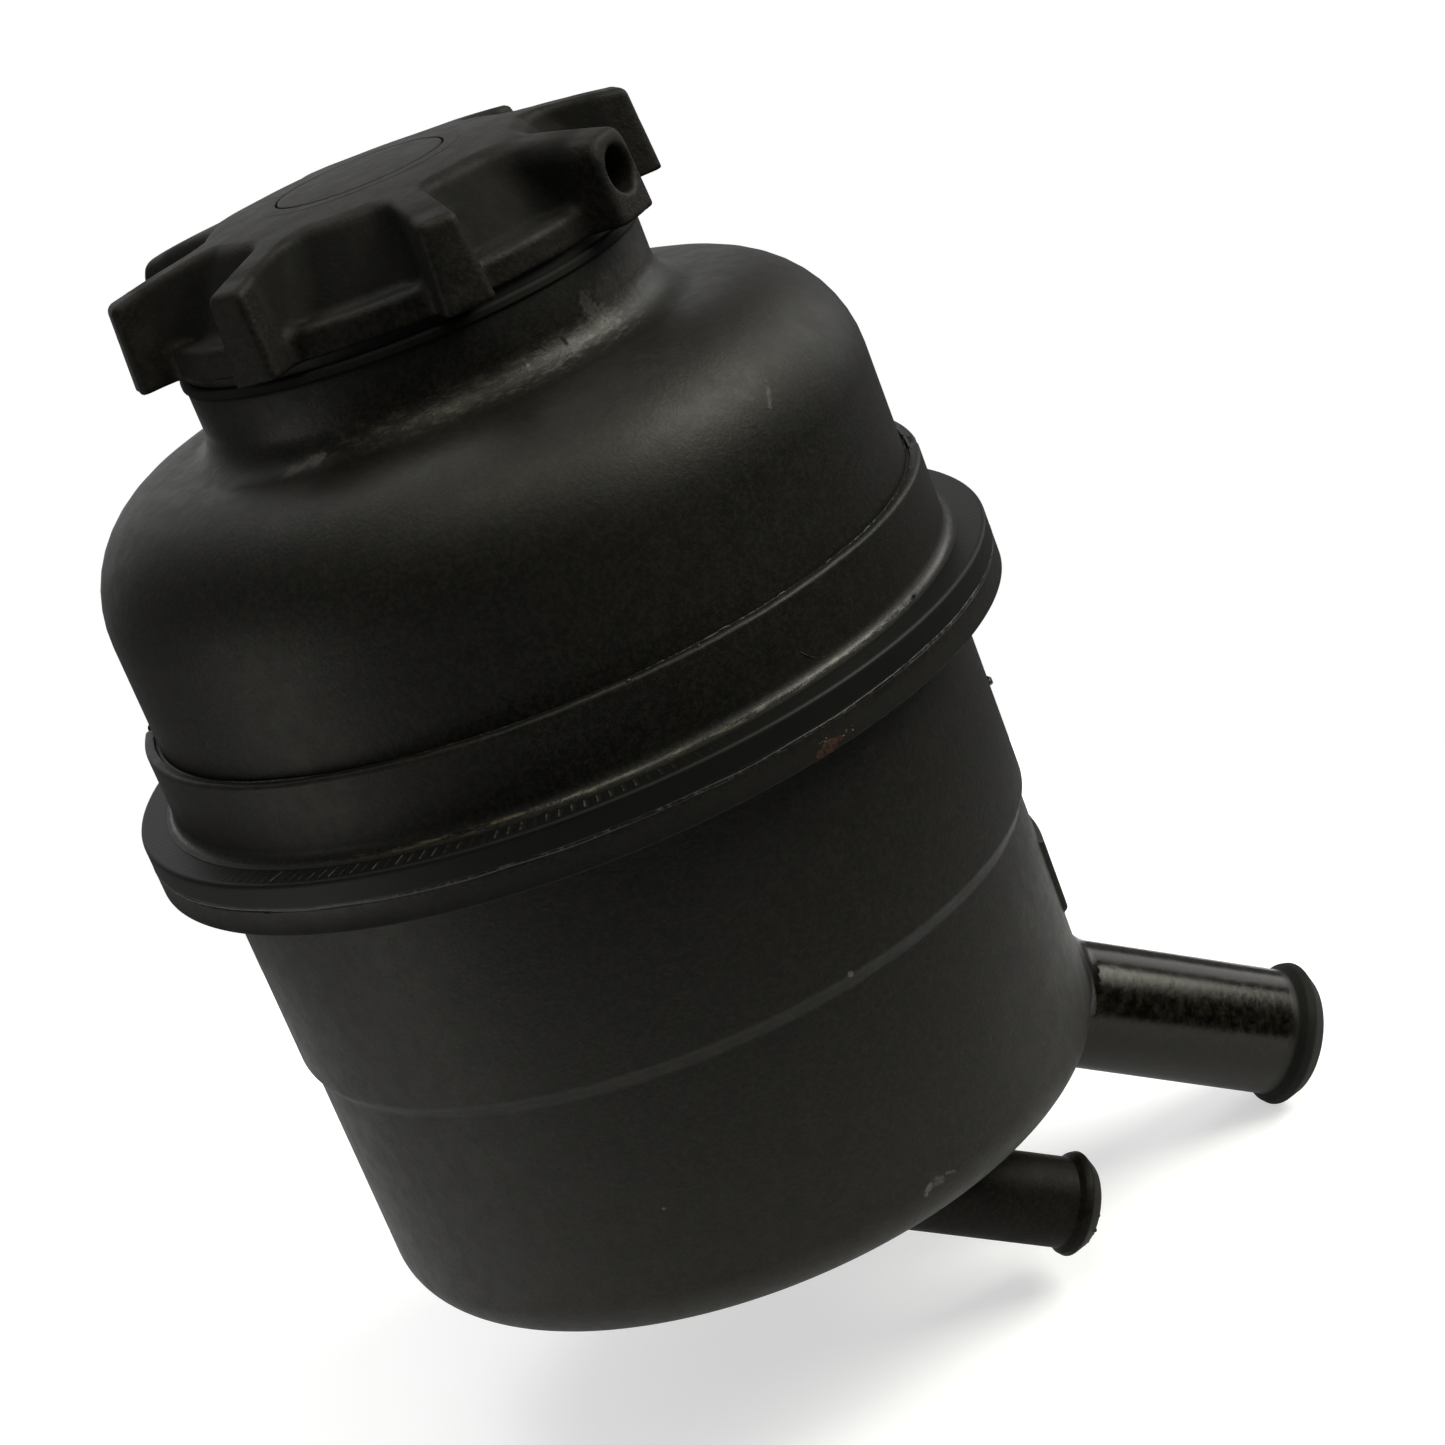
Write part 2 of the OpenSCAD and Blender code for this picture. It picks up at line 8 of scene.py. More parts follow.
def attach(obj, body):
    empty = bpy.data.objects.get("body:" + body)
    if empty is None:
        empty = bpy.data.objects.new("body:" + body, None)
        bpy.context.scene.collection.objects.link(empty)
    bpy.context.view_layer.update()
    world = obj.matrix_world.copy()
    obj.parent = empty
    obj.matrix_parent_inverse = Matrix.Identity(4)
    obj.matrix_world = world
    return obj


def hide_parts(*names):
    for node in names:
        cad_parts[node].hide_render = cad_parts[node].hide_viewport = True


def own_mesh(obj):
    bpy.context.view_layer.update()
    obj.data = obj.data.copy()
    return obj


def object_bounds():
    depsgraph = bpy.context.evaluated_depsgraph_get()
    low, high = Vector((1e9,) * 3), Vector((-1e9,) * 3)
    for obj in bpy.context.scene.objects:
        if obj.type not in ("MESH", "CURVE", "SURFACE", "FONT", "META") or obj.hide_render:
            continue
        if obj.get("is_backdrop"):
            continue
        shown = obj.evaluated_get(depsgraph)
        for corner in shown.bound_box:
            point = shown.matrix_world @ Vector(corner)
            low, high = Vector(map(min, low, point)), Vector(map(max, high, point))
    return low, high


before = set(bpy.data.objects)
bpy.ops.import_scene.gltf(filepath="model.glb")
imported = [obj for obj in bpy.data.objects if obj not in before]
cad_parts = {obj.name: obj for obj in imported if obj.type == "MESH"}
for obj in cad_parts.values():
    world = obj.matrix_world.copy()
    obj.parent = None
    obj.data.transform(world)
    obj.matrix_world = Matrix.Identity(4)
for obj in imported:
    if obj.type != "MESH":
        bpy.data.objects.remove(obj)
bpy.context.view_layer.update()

# Lengths here are in millimetres, and heights are above the foot face.
# The frame's origin lies on the axis, half way up the band seat.
SEAT = 50.8
FOOT_R, SEAT_R, FLANGE_R, COLLAR_R = 50.1, 51.1, 58.05, 53.0
WELD, FLANGE_TOP, RIM, SHOULDER, DOME_TOP = 69.2, 72.6, 83.2, 97.6, 113.6
NECK_R, LIP_R, NECK_TOP, MOUTH_R = 30.0, 30.4, 124.5, 26.0
CAP_FOOT, CROWN, CROWN_R = 125.85, 140.2, 182.0
PLUG_R, PLUG_IN, DECK, CHAMBER = 24.4, 22.2, 126.95, 129.15
VENT, VENT_H, VENT_R = math.radians(-40.9), 131.8, 2.85
SLANT = math.radians(34.3)
THREAD_LEAD = 4.0
rng = np.random.default_rng(11)


# ---- meshes ----------------------------------------------------------------

def piece(name, verts, faces, material, body, slot, node=None, **marks):
    """Adds a smooth mesh that rides on a body. Verts are in millimetres, heights above the foot.

    Marks are values from 0 to 1 at each vert, which its material reads."""
    v = np.array(verts, float)
    v[:, 2] -= SEAT
    mesh = bpy.data.meshes.new(name)
    mesh.from_pydata((v * 0.001).tolist(), [], faces if isinstance(faces, list) else faces.tolist())
    mesh.materials.append(material)
    mesh.shade_smooth()
    for key, values in marks.items():
        mesh.attributes.new(key, "FLOAT", "POINT").data.foreach_set("value", np.asarray(values, np.float32))
    obj = bpy.data.objects.new(name, mesh)
    bpy.context.scene.collection.objects.link(obj)
    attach(obj, body)
    if node:
        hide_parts(node)
    return obj


def rounded(points, step=9.0, closed=True):
    """Outline through corners (r, h, radius), with an arc at each and a support point beside each arc."""
    out, n = [], len(points)
    for i, (x, y, rad) in enumerate(points):
        p = np.array((x, y), float)
        if rad <= 0 or (not closed and i in (0, n - 1)):
            out.append(p)
            continue
        a = np.array(points[i - 1][:2]) - p
        b = np.array(points[(i + 1) % n][:2]) - p
        la, lb = np.hypot(*a), np.hypot(*b)
        a, b = a / la, b / lb
        half = math.acos(np.clip(a @ b, -1, 1)) / 2
        tangent = rad / math.tan(half)
        centre = p + (a + b) / np.hypot(*(a + b)) * rad / math.sin(half)
        start, end = p + a * tangent - centre, p + b * tangent - centre
        turn = math.pi - 2 * half
        sign = 1 if start[0] * end[1] - start[1] * end[0] > 0 else -1
        if la - tangent > 0.6:
            out.append(centre + start + a * 0.2)
        steps = max(3, math.ceil(math.degrees(turn) / step))
        for k in range(steps + 1):
            t = sign * turn * k / steps
            out.append(centre + np.array((start[0] * math.cos(t) - start[1] * math.sin(t),
                                          start[0] * math.sin(t) + start[1] * math.cos(t))))
        if lb - tangent > 0.6:
            out.append(centre + end + b * 0.2)
    return np.array(out)


def turned(profile, angles):
    """Verts and faces of a closed outline (r, h) turned once about the axis."""
    r, h = profile[:, 0], profile[:, 1]
    n, m = len(profile), len(angles)
    if np.sum(r * np.roll(h, -1) - np.roll(r, -1) * h) < 0:
        r, h = r[::-1], h[::-1]
    verts, first, single = [], [], []
    count = 0
    for k in range(n):
        on_axis = r[k] < 1e-6
        first.append(count)
        single.append(on_axis)
        if on_axis:
            verts.append(np.array([[0.0, 0.0, h[k]]]))
            count += 1
        else:
            verts.append(np.column_stack([r[k] * np.cos(angles), r[k] * np.sin(angles), np.full(m, h[k])]))
            count += m
    faces = []
    j = np.arange(m)
    j2 = (j + 1) % m
    for k in range(n):
        k2 = (k + 1) % n
        if single[k] and single[k2]:
            continue
        a, b = first[k], first[k2]
        if single[k]:
            faces += np.column_stack([np.full(m, a), b + j2, b + j]).tolist()
        elif single[k2]:
            faces += np.column_stack([a + j, a + j2, np.full(m, b)]).tolist()
        else:
            faces += np.column_stack([a + j, a + j2, b + j2, b + j]).tolist()
    return np.vstack(verts), faces


def arc(cx, cy, radius, start, end, n):
    """Points of an arc, in degrees, as sharp corners of an outline."""
    t = np.radians(np.linspace(start, end, n + 1))
    return [(cx + radius * math.cos(a), cy + radius * math.sin(a), 0) for a in t]


def circle(n):
    return np.arange(n) * 2 * math.pi / n


def nozzle_matrix(x, y):
    """Moves a shape made along +Z onto a nozzle's slanted axis."""
    axis = Vector((math.cos(SLANT), 0, -math.sin(SLANT)))
    side = Vector((0, 1, 0))
    turn = Matrix((side.cross(axis), side, axis)).transposed().to_4x4()
    return np.array(Matrix.Translation((x, y, 0)) @ turn)


def moved(verts, matrix):
    return verts @ matrix[:3, :3].T + matrix[:3, 3]


def wave(angle, seed, orders=(3, 5, 9, 14, 23, 41), power=0.5):
    """Smooth irregular curve round a circle, about -1 to 1."""
    g = np.random.default_rng(seed)
    total = sum(math.pow(k, -power) for k in orders)
    return sum(math.pow(k, -power) * np.sin(k * angle + g.uniform(0, 6.28)) for k in orders) / total * 1.7


def joined(parts):
    """One mesh from several (verts, faces)."""
    verts, faces, base = [], [], 0
    for v, f in parts:
        verts.append(v)
        faces += [[i + base for i in face] for face in f]
        base += len(v)
    return np.vstack(verts), faces


# ---- distance fields, for moulded forms with true fillets --------------------

def round_union(a, b, r):
    return np.maximum(r, np.minimum(a, b)) - np.hypot(np.maximum(r - a, 0), np.maximum(r - b, 0))


def round_cut(a, b, r):
    return np.minimum(-r, np.maximum(a, b)) + np.hypot(np.maximum(r + a, 0), np.maximum(r + b, 0))


def net(field, low, high, cell):
    """Surface net of a distance field: one vertex in each crossed cell, drawn onto the surface."""
    axes = [np.arange(a, b + cell, cell) for a, b in zip(low, high)]
    grid = np.meshgrid(*axes, indexing="ij")
    f = field(*grid)
    inside = f < 0
    corners = [(i, j, k) for i in (0, 1) for j in (0, 1) for k in (0, 1)]
    size = [n - 1 for n in inside.shape]

    def corner(a, c):
        return a[c[0]:c[0] + size[0], c[1]:c[1] + size[1], c[2]:c[2] + size[2]]

    count = sum(corner(inside, c).astype(np.int8) for c in corners)
    active = (count > 0) & (count < 8)
    cells = np.argwhere(active)
    index = np.full(active.shape, -1)
    index[active] = np.arange(len(cells))
    place, hits = np.zeros((len(cells), 3)), np.zeros(len(cells))
    for c in corners:
        for axis in range(3):
            if c[axis]:
                continue
            d = list(c)
            d[axis] = 1
            fa = corner(f, c)[active]
            fb = corner(f, d)[active]
            cross = (fa < 0) != (fb < 0)
            t = np.where(cross, fa / np.where(cross, fa - fb, 1), 0)
            p = cells + np.array(c, float)
            p[:, axis] += t
            place[cross] += p[cross]
            hits[cross] += 1
    verts = np.array(low) + cell * place / hits[:, None]
    quads = []
    for axis in range(3):
        u, v = (axis + 1) % 3, (axis + 2) % 3
        here = np.take(inside, range(inside.shape[axis] - 1), axis)
        there = np.take(inside, range(1, inside.shape[axis]), axis)
        for flip, change in ((False, here & ~there), (True, ~here & there)):
            at = np.argwhere(change)
            at = at[(at[:, u] > 0) & (at[:, v] > 0) & (at[:, u] < size[u]) & (at[:, v] < size[v])]
            loop = []
            for du, dv in ((-1, -1), (0, -1), (0, 0), (-1, 0)):
                q = at.copy()
                q[:, u] += du
                q[:, v] += dv
                loop.append(index[q[:, 0], q[:, 1], q[:, 2]])
            quad = np.column_stack(loop)
            quads.append(quad[:, ::-1] if flip else quad)
    quads = np.vstack(quads)
    quads = quads[(quads >= 0).all(1)]
    eps = 0.02
    for _ in range(4):
        value = field(*verts.T)
        slope = np.column_stack([(field(*(verts + d).T) - field(*(verts - d).T)) / (2 * eps)
                                 for d in np.eye(3) * eps])
        step = value[:, None] * slope / np.maximum((slope ** 2).sum(1), 0.2)[:, None]
        verts = verts - np.clip(step, -0.3 * cell, 0.3 * cell)
    return verts, quads


def cap_field(x, y, h):
    """Signed distance to the cap above its foot: crown, lobes, hub, ledge, holes."""
    r = np.hypot(x, y)
    turn = np.arctan2(y, x) - VENT
    k = np.round(turn / (math.pi / 4))
    local = turn - k * math.pi / 4
    u, v = r * np.cos(local), r * np.sin(local)
    vent = np.mod(k, 4) == 0
    rise = (h - CAP_FOOT) / (CROWN - CAP_FOOT)
    crown = h - (CROWN - CROWN_R + np.sqrt(CROWN_R ** 2 - np.minimum(r, 60) ** 2))
    plain = np.abs(v) - (3.2 - 1.05 * rise)
    wide = round_cut(np.abs(v) - (4.25 - 0.3 * rise), crown, 3.0)
    lobe = np.where(vent, wide, plain)
    hub = (r - (20.9 + (138.9 - h) * 0.62)) * 0.85
    ledge = round_cut(r - 30.5, h - 129.65, 1.2)
    body = np.minimum(round_union(lobe, hub, 2.6), round_union(lobe, ledge, 1.3))
    body = np.minimum(body, round_union(hub, ledge, 0.8))
    body = round_cut(body, r - (35.6 - 0.9 * rise), 0.9)
    body = round_cut(body, crown, 0.9)
    body = round_cut(body, CAP_FOOT - h, 0.25)
    hole = np.where(vent & (u > 7), np.hypot(v, h - VENT_H) - VENT_R, 9.0)
    body = round_cut(body, -hole, 0.6)
    body = np.maximum(body, -np.maximum(r - 8.5, CHAMBER - h))
    body = np.maximum(body, -np.maximum(r - 12.2, -crown - 2.2))
    return np.maximum(body, -np.maximum(r - PLUG_IN, h - DECK))


def foot_field(x, y, h):
    """Signed distance to the outside of the foot with its rounded edge."""
    a, b = np.hypot(x, y) - (FOOT_R - 6), 6 - h
    return np.minimum(np.maximum(a, b), 0) + np.hypot(np.maximum(a, 0), np.maximum(b, 0)) - 6


def tube_field(x, y, h, x0, y0, radius):
    """Signed distance to the outside of a nozzle's tube."""
    dx, dy, dh = x - x0, y - y0, h
    t = dx * math.cos(SLANT) - dh * math.sin(SLANT)
    return np.sqrt(np.maximum(dx ** 2 + dy ** 2 + dh ** 2 - t ** 2, 0)) - radius


# ---- materials ---------------------------------------------------------------

class Paint:
    """Builds the node tree of one material."""

    def __init__(self, name):
        self.material = bpy.data.materials.new(name)
        self.material.use_nodes = True
        self.tree = self.material.node_tree
        self.shader = self.tree.nodes["Principled BSDF"]
        self.place = self.add("ShaderNodeTexCoord").outputs["Object"]

    def add(self, kind, **settings):
        node = self.tree.nodes.new(kind)
        for key, value in settings.items():
            setattr(node, key, value)
        return node

    def put(self, socket, value):
        if isinstance(value, bpy.types.NodeSocket):
            self.tree.links.new(value, socket)
        else:
            socket.default_value = value

    def noise(self, size_mm, detail=2.0, rough=0.5, stretch=None, place=None):
        node = self.add("ShaderNodeTexNoise")
        place = place or self.place
        if stretch:
            mapping = self.add("ShaderNodeMapping")
            self.put(mapping.inputs["Vector"], place)
            mapping.inputs["Scale"].default_value = stretch
            place = mapping.outputs[0]
        self.put(node.inputs["Vector"], place)
        node.inputs["Scale"].default_value = 1000.0 / size_mm
        node.inputs["Detail"].default_value = detail
        node.inputs["Roughness"].default_value = rough
        return node.outputs["Fac"]

    def math(self, operation, a, b=0.0, c=0.0, clamp=False):
        node = self.add("ShaderNodeMath", operation=operation, use_clamp=clamp)
        for socket, value in zip(node.inputs, (a, b, c)):
            self.put(socket, value)
        return node.outputs[0]

    def ramp(self, value, low, high, out_low=0.0, out_high=1.0):
        node = self.add("ShaderNodeMapRange", interpolation_type="SMOOTHSTEP")
        for socket, v in zip(node.inputs, (value, low, high, out_low, out_high)):
            self.put(socket, v)
        return node.outputs[0]

    def blend(self, factor, a, b):
        node = self.add("ShaderNodeMix", data_type="RGBA")
        self.put(node.inputs[0], factor)
        self.put(node.inputs[6], a)
        self.put(node.inputs[7], b)
        return node.outputs[2]

    def stroke(self, start, end, width, feather=0.15):
        """1 near the line between two points (millimetres, heights above the foot), else 0."""
        a = Vector((start[0], start[1], start[2] - SEAT)) * 0.001
        b = Vector((end[0], end[1], end[2] - SEAT)) * 0.001
        rel = self.add("ShaderNodeVectorMath", operation="SUBTRACT")
        self.put(rel.inputs[0], self.place)
        rel.inputs[1].default_value = a
        dot = self.add("ShaderNodeVectorMath", operation="DOT_PRODUCT")
        self.put(dot.inputs[0], rel.outputs[0])
        dot.inputs[1].default_value = (b - a) / (b - a).length_squared
        t = self.math("MULTIPLY", dot.outputs["Value"], 1.0, clamp=True)
        near = self.add("ShaderNodeVectorMath", operation="SCALE")
        near.inputs[0].default_value = b - a
        self.put(near.inputs["Scale"], t)
        away = self.add("ShaderNodeVectorMath", operation="DISTANCE")
        self.put(away.inputs[0], rel.outputs[0])
        self.put(away.inputs[1], near.outputs[0])
        ragged = self.math("MULTIPLY", self.math("SUBTRACT", self.noise(1.2, 5.0, 0.7), 0.5), width * 0.0034)
        near_line = self.math("ADD", away.outputs["Value"], ragged)
        return self.ramp(near_line, width * 0.001, width * 0.001 * feather, 0.0, 1.0)

    def radius(self):
        flat = self.add("ShaderNodeVectorMath", operation="MULTIPLY")
        self.put(flat.inputs[0], self.place)
        flat.inputs[1].default_value = (1, 1, 0)
        length = self.add("ShaderNodeVectorMath", operation="LENGTH")
        self.put(length.inputs[0], flat.outputs[0])
        return length.outputs["Value"]

    def turn(self):
        """Angle round the axis in radians: 0 at the front, growing to the right, with its seam at the back."""
        split = self.add("ShaderNodeSeparateXYZ")
        self.put(split.inputs[0], self.place)
        return self.math("ARCTAN2", split.outputs["X"], self.math("MULTIPLY", split.outputs["Y"], -1.0))

    def unrolled(self, squeeze):
        """Place as way round, radius and height; the way round is squeezed, so noise runs along a rim."""
        out = self.add("ShaderNodeCombineXYZ")
        self.put(out.inputs[0], self.math("MULTIPLY", self.turn(), 0.053 * squeeze))
        self.put(out.inputs[1], self.radius())
        self.put(out.inputs[2], self.height())
        return out.outputs[0]

    def along_tube(self, squeeze):
        """Place turned to the nozzles' axis and squeezed along it, so noise runs along a tube."""
        mapping = self.add("ShaderNodeMapping", vector_type="TEXTURE")
        self.put(mapping.inputs["Vector"], self.place)
        mapping.inputs["Rotation"].default_value = (0, SLANT, 0)
        mapping.inputs["Scale"].default_value = (squeeze, 1, 1)
        return mapping.outputs[0]

    def window(self, value, low, high, edge_mm):
        edge = edge_mm * 0.001
        return self.math("MULTIPLY", self.ramp(value, low, low + edge), self.ramp(value, high, high - edge))

    def mark(self, name):
        return self.add("ShaderNodeAttribute", attribute_name=name).outputs["Fac"]

    def height(self):
        split = self.add("ShaderNodeSeparateXYZ")
        self.put(split.inputs[0], self.place)
        return split.outputs["Z"]

    def bump(self, value, strength, distance_mm, under=None):
        node = self.add("ShaderNodeBump")
        self.put(node.inputs["Height"], value)
        node.inputs["Strength"].default_value = strength
        node.inputs["Distance"].default_value = distance_mm * 0.001
        if under is not None:
            self.put(node.inputs["Normal"], under)
        return node.outputs[0]

    def finish(self, colour, roughness, normal=None, metallic=0.0, level=0.5):
        self.put(self.shader.inputs["Base Color"], colour)
        self.put(self.shader.inputs["Roughness"], roughness)
        self.shader.inputs["Metallic"].default_value = metallic
        self.shader.inputs["Specular IOR Level"].default_value = level
        if normal is not None:
            self.put(self.shader.inputs["Normal"], normal)
        return self.material


def on_wall(az, h, r):
    a = math.radians(az)
    return (r * math.cos(a), r * math.sin(a), h)


def moulded(name, base, pale, rough, grain, level, grime=0.0, scuffs_and_glints=(), rims=()):
    """Matte moulded plastic: cloudy tone, dust and rust specks, rub-mark strokes with some painted highlights and a
    painted glint among them, and rubbed rims whose pale streaks are partly wear and partly painted highlight.

    Marks on a mesh change it: film is a glossy uneven skin; the shade mark makes it rougher and darker, a painted
    shade."""
    p = Paint(name)
    film, dull = p.mark("film"), p.mark("dull")
    dust = p.ramp(p.noise(0.7, 4.0, 0.8), 0.44, 0.62)
    rust = p.ramp(p.noise(0.9, 4.0, 0.8), 0.50, 0.66)
    speck = p.ramp(p.noise(1.0, 3.0, 0.7), 0.68, 0.76)
    stain = p.math("MULTIPLY", p.ramp(p.noise(4.0, 6.0, 0.75), 0.46, 0.62), grime)
    colour = p.blend(p.ramp(p.noise(30.0, 2.0), 0.35, 0.7), base + (1,), pale + (1,))
    colour = p.blend(p.math("MULTIPLY", dust, 0.55), colour, (0.0098, 0.0096, 0.0066, 1))
    colour = p.blend(p.math("MULTIPLY", rust, 0.60), colour, (0.0125, 0.0070, 0.0052, 1))
    colour = p.blend(stain, colour, (0.0150, 0.0118, 0.0066, 1))
    colour = p.blend(p.math("MULTIPLY", speck, 0.16), colour, (0.060, 0.055, 0.045, 1))
    roughness = p.ramp(p.noise(3.0, 5.0, 0.7), 0.3, 0.7, rough - 0.04, rough + 0.04)
    roughness = p.math("ADD", roughness, p.math("MULTIPLY", stain, 0.12))
    if rims:
        angle = p.turn()
        # The pale rim colour is partly wear and partly painted highlight: a warm tint towards the left and grey to
        # the right, streaks faded out at both ends, and an even painted highlight band at the right end.
        warm = p.ramp(angle, 0.05, 0.42)
        faint = p.math("MULTIPLY", p.ramp(angle, 0.95, 0.70, 0.35, 1.0), p.ramp(angle, -0.85, -0.30, 0.08, 1.0))
        painted_highlight_band = p.ramp(angle, 0.65, 0.95, 0.0, 0.20)
        streaks = p.noise(0.7, 4.0, 0.7, place=p.unrolled(0.22))
        tone = p.blend(warm, (0.120, 0.098, 0.050, 1), (0.200, 0.200, 0.195, 1))
    for r0, r1, h0, h1, edge, drop, wear_and_highlight_share in rims:
        zone = p.math("MULTIPLY", p.window(p.radius(), r0 * 0.001, r1 * 0.001, edge),
                      p.window(p.height(), (h0 - SEAT) * 0.001, (h1 - SEAT) * 0.001, edge))
        roughness = p.math("SUBTRACT", roughness, p.math("MULTIPLY", zone, drop))
        wear_and_highlight = p.math("MULTIPLY", zone, p.math("MAXIMUM", p.math("MULTIPLY", p.ramp(streaks, 0.48, 0.66), faint), painted_highlight_band))
        colour = p.blend(p.math("MULTIPLY", wear_and_highlight, wear_and_highlight_share), colour, tone)
    pale_scuff_and_glint_mask = dark_mask = 0.0
    for start, end, width, power in scuffs_and_glints:
        one = p.math("MULTIPLY", p.stroke(start, end, width), abs(power))
        if power > 0:
            pale_scuff_and_glint_mask = p.math("MAXIMUM", one, pale_scuff_and_glint_mask)
        else:
            dark_mask = p.math("MAXIMUM", one, dark_mask)
    if scuffs_and_glints:
        pale_scuff_and_glint_mask = p.math("MULTIPLY", pale_scuff_and_glint_mask, p.ramp(p.noise(0.5, 4.0, 0.7), 0.30, 0.60, 0.45, 1.0))
        colour = p.blend(pale_scuff_and_glint_mask, colour, (0.112, 0.108, 0.095, 1))
        colour = p.blend(dark_mask, colour, (0.0002, 0.0002, 0.0002, 1))
        roughness = p.math("ADD", roughness, p.math("MULTIPLY", dark_mask, 0.4), clamp=True)
    skin = p.noise(1.3, 6.0, 0.72, place=p.along_tube(0.8))
    tint = p.blend(p.ramp(skin, 0.40, 0.66), (0.0012, 0.0012, 0.0008, 1), (0.0105, 0.0086, 0.0055, 1))
    colour = p.blend(film, colour, tint)
    # Painted shade: where the shade mark is set, the colour is darkened.
    colour = p.blend(p.math("MULTIPLY", dull, 0.8), colour, (0.0008, 0.0008, 0.0006, 1))
    wet = p.ramp(skin, 0.38, 0.62, 0.15, 0.20)
    roughness = p.math("ADD", p.math("MULTIPLY", roughness, p.math("SUBTRACT", 1.0, film)),
                       p.math("MULTIPLY", wet, film))
    roughness = p.math("ADD", roughness, p.math("MULTIPLY", dull, 0.28), clamp=True)
    height = p.math("MULTIPLY", p.noise(0.5, 3.0, 0.65), p.math("SUBTRACT", 1.0, p.math("MULTIPLY", film, 0.85)))
    normal = p.bump(height, grain, 0.09)
    normal = p.bump(p.noise(14.0, 1.0, 0.4), 0.05, 0.3, normal)
    normal = p.bump(p.math("MULTIPLY", skin, film), 0.4, 0.08, normal)
    p.shader.inputs["Specular Tint"].default_value = (1.0, 0.99, 0.92, 1)
    return p.finish(colour, roughness, normal, level=level)


def scuff_and_glint_list():
    """Rub marks and scratches of the shells, with painted highlights and a painted glint among them, and dark strokes
    along the weld line, as (start, end, width, power).
    """
    return [
        (on_wall(-53.6, 102.5, 50.4), on_wall(-51.2, 105.2, 49.5), 0.42, 0.34),
        (on_wall(-56.6, 106.2, 49.0), on_wall(-55.6, 104.6, 49.7), 0.9, 0.10),
        (on_wall(-76.4, 5.4, 50.1), on_wall(-75.2, 6.3, 50.1), 0.45, 0.62),
        (on_wall(-74.2, 6.1, 50.1), on_wall(-73.4, 6.2, 50.1), 0.75, 0.34),
        (on_wall(-72.2, 6.4, 50.1), on_wall(-71.0, 6.0, 50.1), 0.35, 0.50),
        (on_wall(-126.9, 102.3, 49.4), on_wall(-122.2, 103.7, 49.0), 0.3, -0.9),
        (on_wall(-66.9, 116.9, NECK_R), on_wall(-66.4, 116.3, NECK_R + 0.3), 0.5, -0.95),
        (on_wall(-75.4, 36.9, 50.9), on_wall(-75.2, 36.7, 50.9), 0.4, 0.9),
        (on_wall(-111.6, 17.9, FOOT_R), on_wall(-111.4, 17.8, FOOT_R), 0.35, 0.8),
        # Painted highlights along the left of the neck fillet.
        (on_wall(-135.5, 114.3, 32.6), on_wall(-129.5, 114.7, 32.0), 1.3, 0.30),
        (on_wall(-127.9, 114.9, 31.8), on_wall(-127.6, 114.9, 31.8), 0.7, 0.40),
        (on_wall(-56.9, 119.2, NECK_R), on_wall(-55.2, 116.4, NECK_R + 0.1), 1.5, 0.24),
        (on_wall(-54.3, 118.4, NECK_R), on_wall(-53.3, 116.0, NECK_R + 0.5), 0.6, 0.30),
        (on_wall(-52.4, 117.6, NECK_R), on_wall(-51.9, 115.6, NECK_R + 0.7), 0.9, 0.25),
        (on_wall(-50.0, 118.6, NECK_R), on_wall(-24.0, 119.4, NECK_R), 3.4, 0.13),
        (on_wall(-47.6, 120.6, NECK_R), on_wall(-46.8, 117.4, NECK_R + 0.1), 0.9, 0.10),
        # Painted glint: a tiny pale dot on the neck fillet.
        (on_wall(-77.4, 116.0, NECK_R + 0.5), on_wall(-77.2, 116.0, NECK_R + 0.5), 0.3, 0.8),
        (on_wall(-40.3, 122.4, NECK_R), on_wall(-36.7, 116.3, NECK_R + 0.3), 0.22, 0.16),
        (on_wall(-161.0, 69.3, 58.1), on_wall(-157.6, 69.2, 58.1), 0.45, -0.9),
        (on_wall(-155.2, 69.3, 58.1), on_wall(-154.3, 69.1, 58.1), 0.6, -0.9),
        (on_wall(-151.9, 69.2, 58.1), on_wall(-147.8, 69.3, 58.1), 0.35, -0.85),
        (on_wall(-144.4, 69.1, 58.1), on_wall(-143.7, 69.3, 58.1), 0.5, -0.9),
        (on_wall(-32.5, 118.3, NECK_R), on_wall(-28.7, 115.4, NECK_R + 0.9), 0.22, 0.20),
    ]


SHELL_TONES = ((0.0013, 0.0014, 0.0009), (0.0025, 0.0024, 0.0017))
# Rims as (r0, r1, h0, h1, edge, roughness drop, pale share): the pale colour they get is partly wear and partly
# painted highlight; the last one only changes roughness.
RUBBED_AND_HIGHLIT_RIMS = (
    (53.2, 54.2, 72.7, 73.7, 0.3, 0.24, 0.55),
    (29.3, 34.0, 113.4, 118.4, 1.6, 0.07, 0.22),
    (49.9, 51.3, 35.0, 36.8, 0.4, 0.0, 0.05),
    (29.3, 31.0, 116.5, 123.4, 0.8, 0.08, 0.0),
)
shell = moulded("shell_plastic", *SHELL_TONES, 0.51, 0.50, 0.31, 0.05, scuff_and_glint_list(), RUBBED_AND_HIGHLIT_RIMS)
tube_plastic = {"suction": moulded("suction_tube_plastic", *SHELL_TONES, 0.50, 0.50, 0.28, 0.1),
                "return": moulded("return_tube_plastic", *SHELL_TONES, 0.50, 0.50, 0.10, 0.1)}
cap_plastic = moulded("cap_plastic", (0.0011, 0.0011, 0.0008), (0.0030, 0.0026, 0.0019), 0.58, 0.80, 0.23, 0.26)


